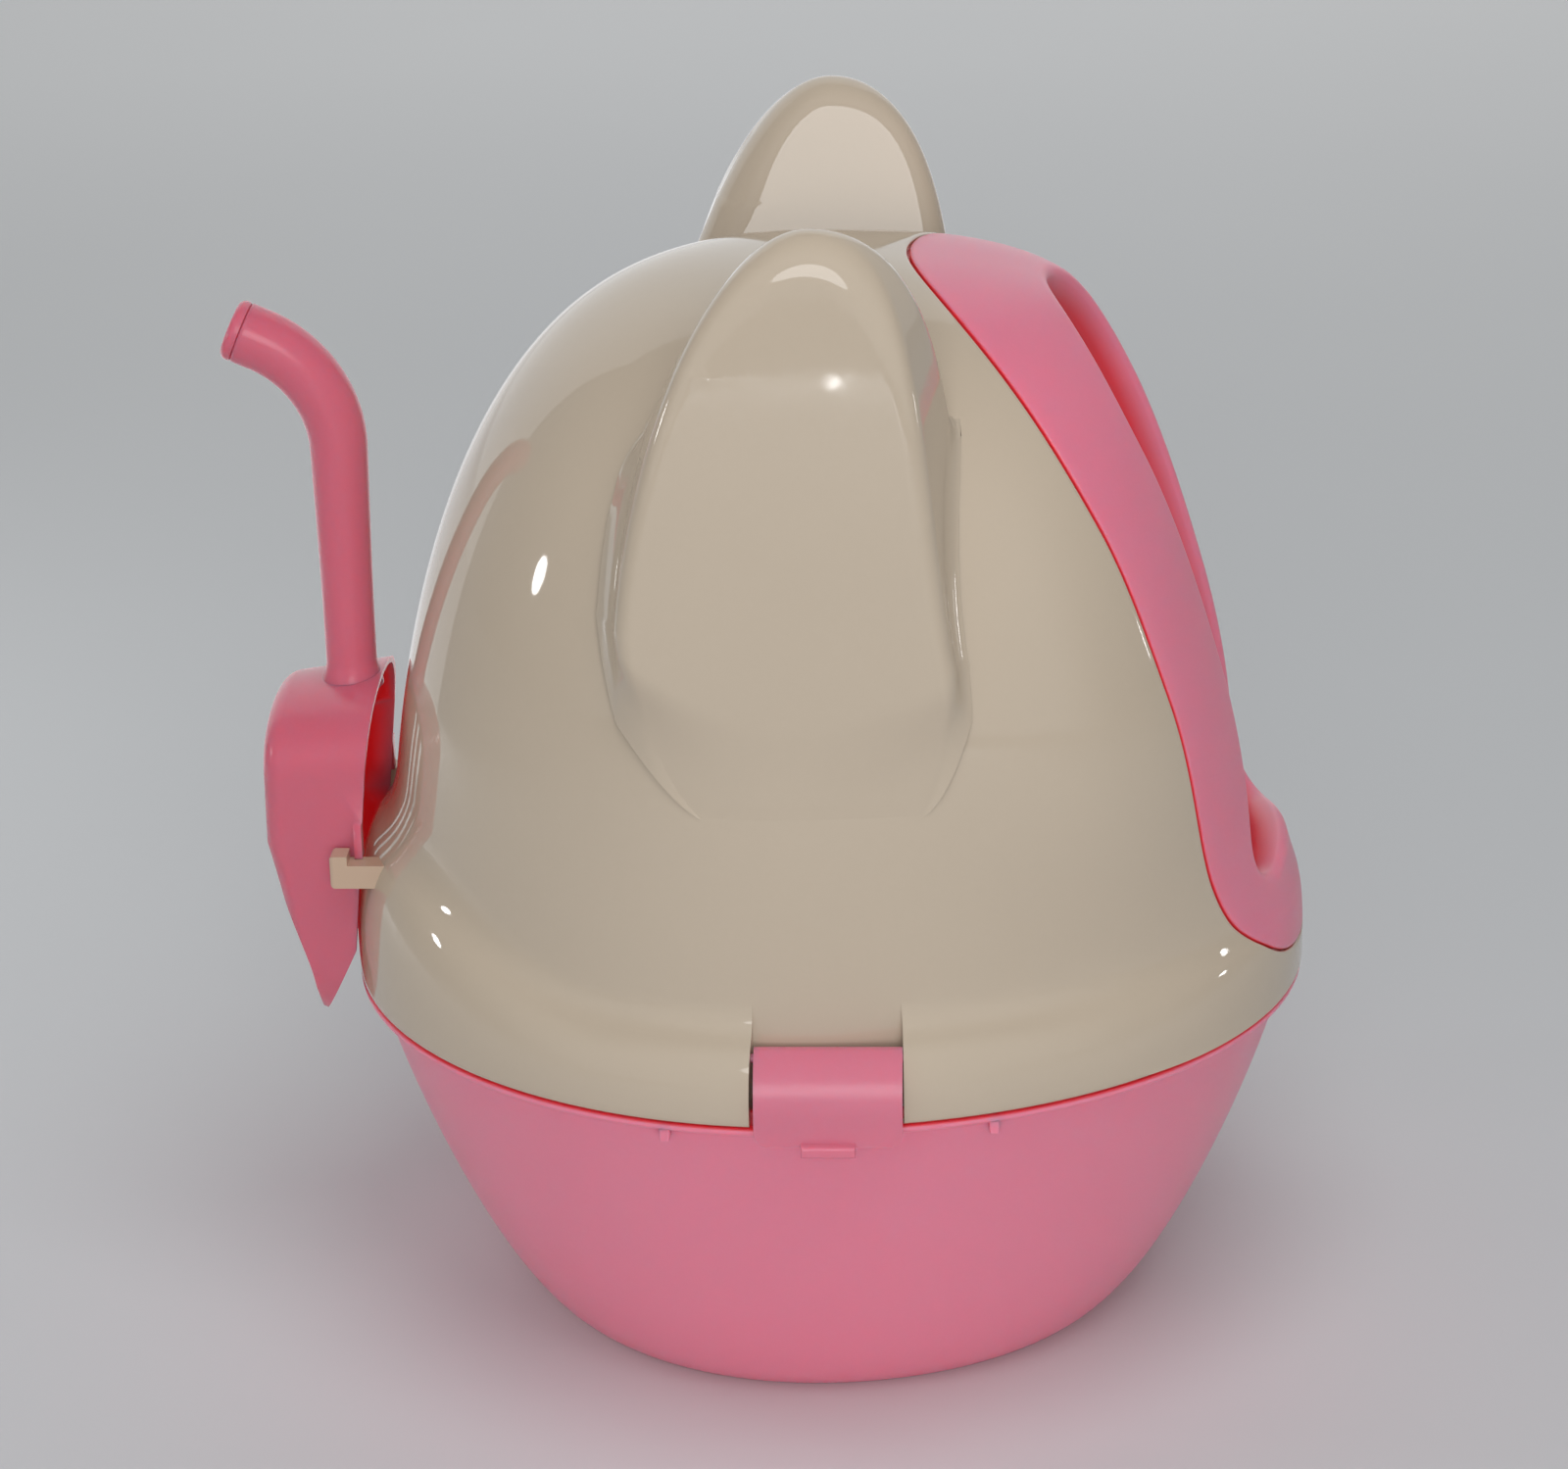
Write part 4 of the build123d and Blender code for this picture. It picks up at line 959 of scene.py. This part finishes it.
def photo_camera(scene):
    """The camera at the photo's viewing angle: swung round the object, raised, and rolled a little."""
    rise, swing, roll = CAMERA_RISE, CAMERA_SWING, CAMERA_ROLL
    level = math.cos(rise)
    ahead = np.array([-math.sin(swing) * level, math.cos(swing) * level, -math.sin(rise)])
    right = np.array([math.cos(swing), math.sin(swing), 0.0])
    up = np.cross(right, ahead)
    turned = right * math.cos(roll) + up * math.sin(roll)
    upright = -right * math.sin(roll) + up * math.cos(roll)
    view = bpy.data.cameras.new("photo_view")
    view.sensor_fit = "HORIZONTAL"
    view.sensor_width = SENSOR
    view.lens = SENSOR * LENS_PIXELS / PHOTO_PIXELS
    view.clip_end = 50
    place = np.array(CAMERA_AIM) - ahead * CAMERA_DISTANCE
    return standing(scene, "photo_view", view, place, (turned, upright, -ahead))


class BOX_OT_stage(bpy.types.Operator):
    """Add the floor, the soft lights and the camera"""

    bl_idname = "litter_box.stage"
    bl_label = "Stage"

    def execute(self, context):
        scene = context.scene
        scene.view_settings.view_transform = "Standard"
        span = np.linspace(-9.0, 9.0, 13)
        x, y = np.meshgrid(span, span)
        floor = build_piece("floor", [(np.stack([x, y, np.zeros_like(x)], -1), False, False)])
        floor.data.materials.append(plain_matt("floor_paper", scene.box_finishes.floor))
        scene.world = studio_world()
        hang_lamps(scene)
        scene.camera = photo_camera(scene)
        return {"FINISHED"}


class BOX_OT_tray(bpy.types.Operator):
    """Make the tray with its flange, lip and gussets"""

    bl_idname = "litter_box.tray"
    bl_label = "Tray"

    def execute(self, context):
        sizes = context.scene.box_tray
        grid, painted_glow = tray_grid(sizes)
        grids = [(grid, False, True)]
        under = sizes.rim_height - FLANGE
        for x in GUSSETS_X:
            reach = RIM_REACH - GUSSET_INSET + (WIDEST_X if x < WIDEST_X else -WIDEST_X)
            share = math.sqrt(1 - ((x - WIDEST_X) / reach) ** 2)
            outer = (sizes.half_width - GUSSET_INSET) * share
            low = (x - 0.002, outer - 0.012, under - 0.0055)
            block = rounded_block(low, (x + 0.002, outer, under + 0.001), 0.0008)
            grids += [(block, False, True), (mirrored(block), False, True)]
        piece = build_piece("tray_bowl", grids, painted_glow=painted_glow)
        attach(piece, "tray", finishes()["pink_satin"], ["base_tray"])
        return {"FINISHED"}


class BOX_OT_hood(bpy.types.Operator):
    """Make the hood's dome and brim and its two ears"""

    bl_idname = "litter_box.hood"
    bl_label = "Hood"

    def execute(self, context):
        scene = context.scene
        sizes = scene.box_hood
        grid = hood_grid(sizes, scene.box_panel, scene.box_tray)
        shell = build_piece("hood_shell", [(grid, True, True)], 50.0)
        attach(shell, "hood", finishes()["cream_gloss"], ["hood"])
        ear = ear_grid(sizes)
        for name, grid in (("hood_ear_left", ear), ("hood_ear_right", mirrored(ear))):
            piece = build_piece(name, [(grid, False, True)], 50.0)
            attach(piece, "hood", finishes()["cream_gloss"])
        return {"FINISHED"}


class BOX_OT_panel(bpy.types.Operator):
    """Make the front panel with the rolled lip of the entrance"""

    bl_idname = "litter_box.panel"
    bl_label = "Front panel"

    def execute(self, context):
        scene = context.scene
        grid, painted_glow = panel_grid(scene.box_panel, scene.box_hood, scene.box_tray)
        piece = build_piece("front_panel_skin", [(grid, True, True)], 50.0, painted_glow)
        attach(piece, "hood", finishes()["pink_panel"], ["front_panel"])
        return {"FINISHED"}


def grip_line(sizes, along):
    """Centre and forward direction of the grip: straight up, then a round bend back and a straight tail."""
    bend = sizes.bend_radius
    straight = sizes.bend_height - sizes.foot
    turn = np.clip((along - straight) / bend, 0, sizes.bend_turn)
    tail = np.maximum(along - straight - bend * sizes.bend_turn, 0)
    x = sizes.grip_x - bend * (1 - np.cos(turn)) - tail * np.sin(turn)
    z = sizes.foot + np.minimum(along, straight) + bend * np.sin(turn) + tail * np.cos(turn)
    zero = np.zeros_like(x)
    return np.stack([x, zero, z], -1), np.stack([-np.sin(turn), zero, np.cos(turn)], -1)


def tube(sizes, along, radius):
    """A round tube on the grip's line, with the radius given at each length along it."""
    centre, ahead = grip_line(sizes, along)
    across = np.array([0.0, 1.0, 0.0])
    up = np.cross(ahead, across)
    turn = np.linspace(0, TURN, 72, endpoint=False)[None, :, None]
    ring = np.cos(turn) * across + np.sin(turn) * up[:, None]
    return centre[:, None] + radius[:, None, None] * ring


class BOX_OT_grip(bpy.types.Operator):
    """Make the scoop's bent grip and the cap at its end"""

    bl_idname = "litter_box.grip"
    bl_label = "Grip"

    def execute(self, context):
        sizes = context.scene.box_scoop
        end = sizes.bend_height - sizes.foot + sizes.bend_radius * sizes.bend_turn + sizes.tail
        low, high = sizes.grip_radius, sizes.end_radius
        along = np.concatenate([[0.0, 0.0], np.linspace(0, end - 0.0006, 150), [end - 0.0003, end, end]])
        radius = low + (high - low) * smooth(0.02, end, along)
        radius = radius + 0.0022 * (1 - smooth(0.0, 0.011, along))
        radius[0], radius[-3:] = 0.0, (radius[-4] - 0.0002, radius[-4] - 0.0005, 0.0)
        grip = build_piece("scoop_grip", [(tube(sizes, along, radius), False, True)], 40.0)
        attach(grip, "scoop", finishes()["pink_gloss"], ["scoop_handle"])
        arc = np.linspace(0, math.pi / 2, 10)
        rim = sizes.cap_round
        far = end + 0.0002 + sizes.cap
        start = [end + 0.0002, end + 0.0002, end + 0.0006]
        along = np.concatenate([start, far - rim + rim * np.sin(arc), [far + 0.0003]])
        radius = np.concatenate([[0.0, high - 0.0005, high], high - rim + rim * np.cos(arc), [0.0]])
        cap = build_piece("scoop_grip_cap", [(tube(sizes, along, radius), False, True)], 40.0)
        attach(cap, "scoop", finishes()["pink_gloss"], ["scoop_handle_cap"])
        return {"FINISHED"}


def slimmed(points):
    """The pan's points with its depth behind the rim's line drawn in, most of all towards the tip, and the
    depth that each has left."""
    rim = np.interp(points[:, 2], PAN_RIM[0], PAN_RIM[1])
    share = np.interp(points[:, 2], PAN_DEPTH[0], PAN_DEPTH[1])
    behind = np.minimum(points[:, 0] - rim, 0)
    return points + np.stack([behind * (share - 1), 0 * rim, 0 * rim], -1), -behind * share


class BOX_OT_pan(bpy.types.Operator):
    """Make the scoop's pan from its solid, with a slim tip and a painted red glow inside that stands in for
    shade lit through the pink wall
    """

    bl_idname = "litter_box.pan"
    bl_label = "Scoop pan"

    def execute(self, context):
        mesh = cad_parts["scoop_pan"].data.copy()
        weld(mesh, 1e-5)
        count = len(mesh.vertices)
        points, normals = np.empty(3 * count), np.empty(3 * count)
        mesh.vertices.foreach_get("co", points)
        mesh.vertices.foreach_get("normal", normals)
        points, behind = slimmed(points.reshape(-1, 3))
        level = np.clip(points[:, 2], 0.15, 0.25)
        centre = points * (1, 0, 0) + np.stack([behind + 0.01, 0 * behind, level], -1)
        inner = ((centre - points) * normals.reshape(-1, 3)).sum(-1) > 0
        mesh.vertices.foreach_set("co", points.ravel())
        # Painted red glow on the inner faces, stronger deeper behind the rim: stands in for the dish's
        # shaded inside lit through its wall.
        painted_glow = inner * smooth(0.0005, 0.004, behind)
        set_painted_glow(mesh, painted_glow)
        piece = add_piece("scoop_pan_skin", mesh, 35.0)
        attach(piece, "scoop", finishes()["pink_gloss"], ["scoop_pan"])
        return {"FINISHED"}


class BOX_OT_small(bpy.types.Operator):
    """Give the latches and hooks their finishes"""

    bl_idname = "litter_box.small"
    bl_label = "Small mouldings"

    def execute(self, context):
        for node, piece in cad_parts.items():
            look = SMALL_LOOKS.get(node.rsplit("_", 1)[0])
            if look:
                for slot in piece.material_slots:
                    slot.material = finishes()[look]
        return {"FINISHED"}


class BOX_PT_sidebar(bpy.types.Panel):
    """Lists the pieces of the litter box"""

    bl_idname = "BOX_PT_sidebar"
    bl_label = "Litter box"
    bl_space_type = "VIEW_3D"
    bl_region_type = "UI"
    bl_category = "Litter box"

    def draw(self, context):
        for operator in OPERATORS:
            self.layout.operator(operator.bl_idname)
        for group in GROUPS:
            holder = getattr(context.scene, group)
            for key in holder.bl_rna.properties.keys():
                if key not in ("name", "rna_type"):
                    self.layout.prop(holder, key)


OPERATORS = (
    BOX_OT_stage, BOX_OT_tray, BOX_OT_hood, BOX_OT_panel, BOX_OT_grip, BOX_OT_pan, BOX_OT_small
)
GROUPS = {
    "box_tray": TraySizes,
    "box_hood": HoodSizes,
    "box_panel": PanelSizes,
    "box_scoop": ScoopSizes,
    "box_finishes": Finishes,
}


def register():
    """Registers the sizes, the operators and the sidebar panel."""
    for name, group in GROUPS.items():
        bpy.utils.register_class(group)
        setattr(bpy.types.Scene, name, PointerProperty(type=group))
    for operator in OPERATORS:
        bpy.utils.register_class(operator)
    bpy.utils.register_class(BOX_PT_sidebar)


def unregister():
    """Takes back what register added."""
    bpy.utils.unregister_class(BOX_PT_sidebar)
    for operator in reversed(OPERATORS):
        bpy.utils.unregister_class(operator)
    for name, group in GROUPS.items():
        delattr(bpy.types.Scene, name)
        bpy.utils.unregister_class(group)


def main():
    """Builds the scene."""
    register()
    bpy.ops.litter_box.stage()
    bpy.ops.litter_box.tray()
    bpy.ops.litter_box.hood()
    bpy.ops.litter_box.panel()
    bpy.ops.litter_box.grip()
    bpy.ops.litter_box.pan()
    bpy.ops.litter_box.small()


if __name__ == "__main__":
    main()
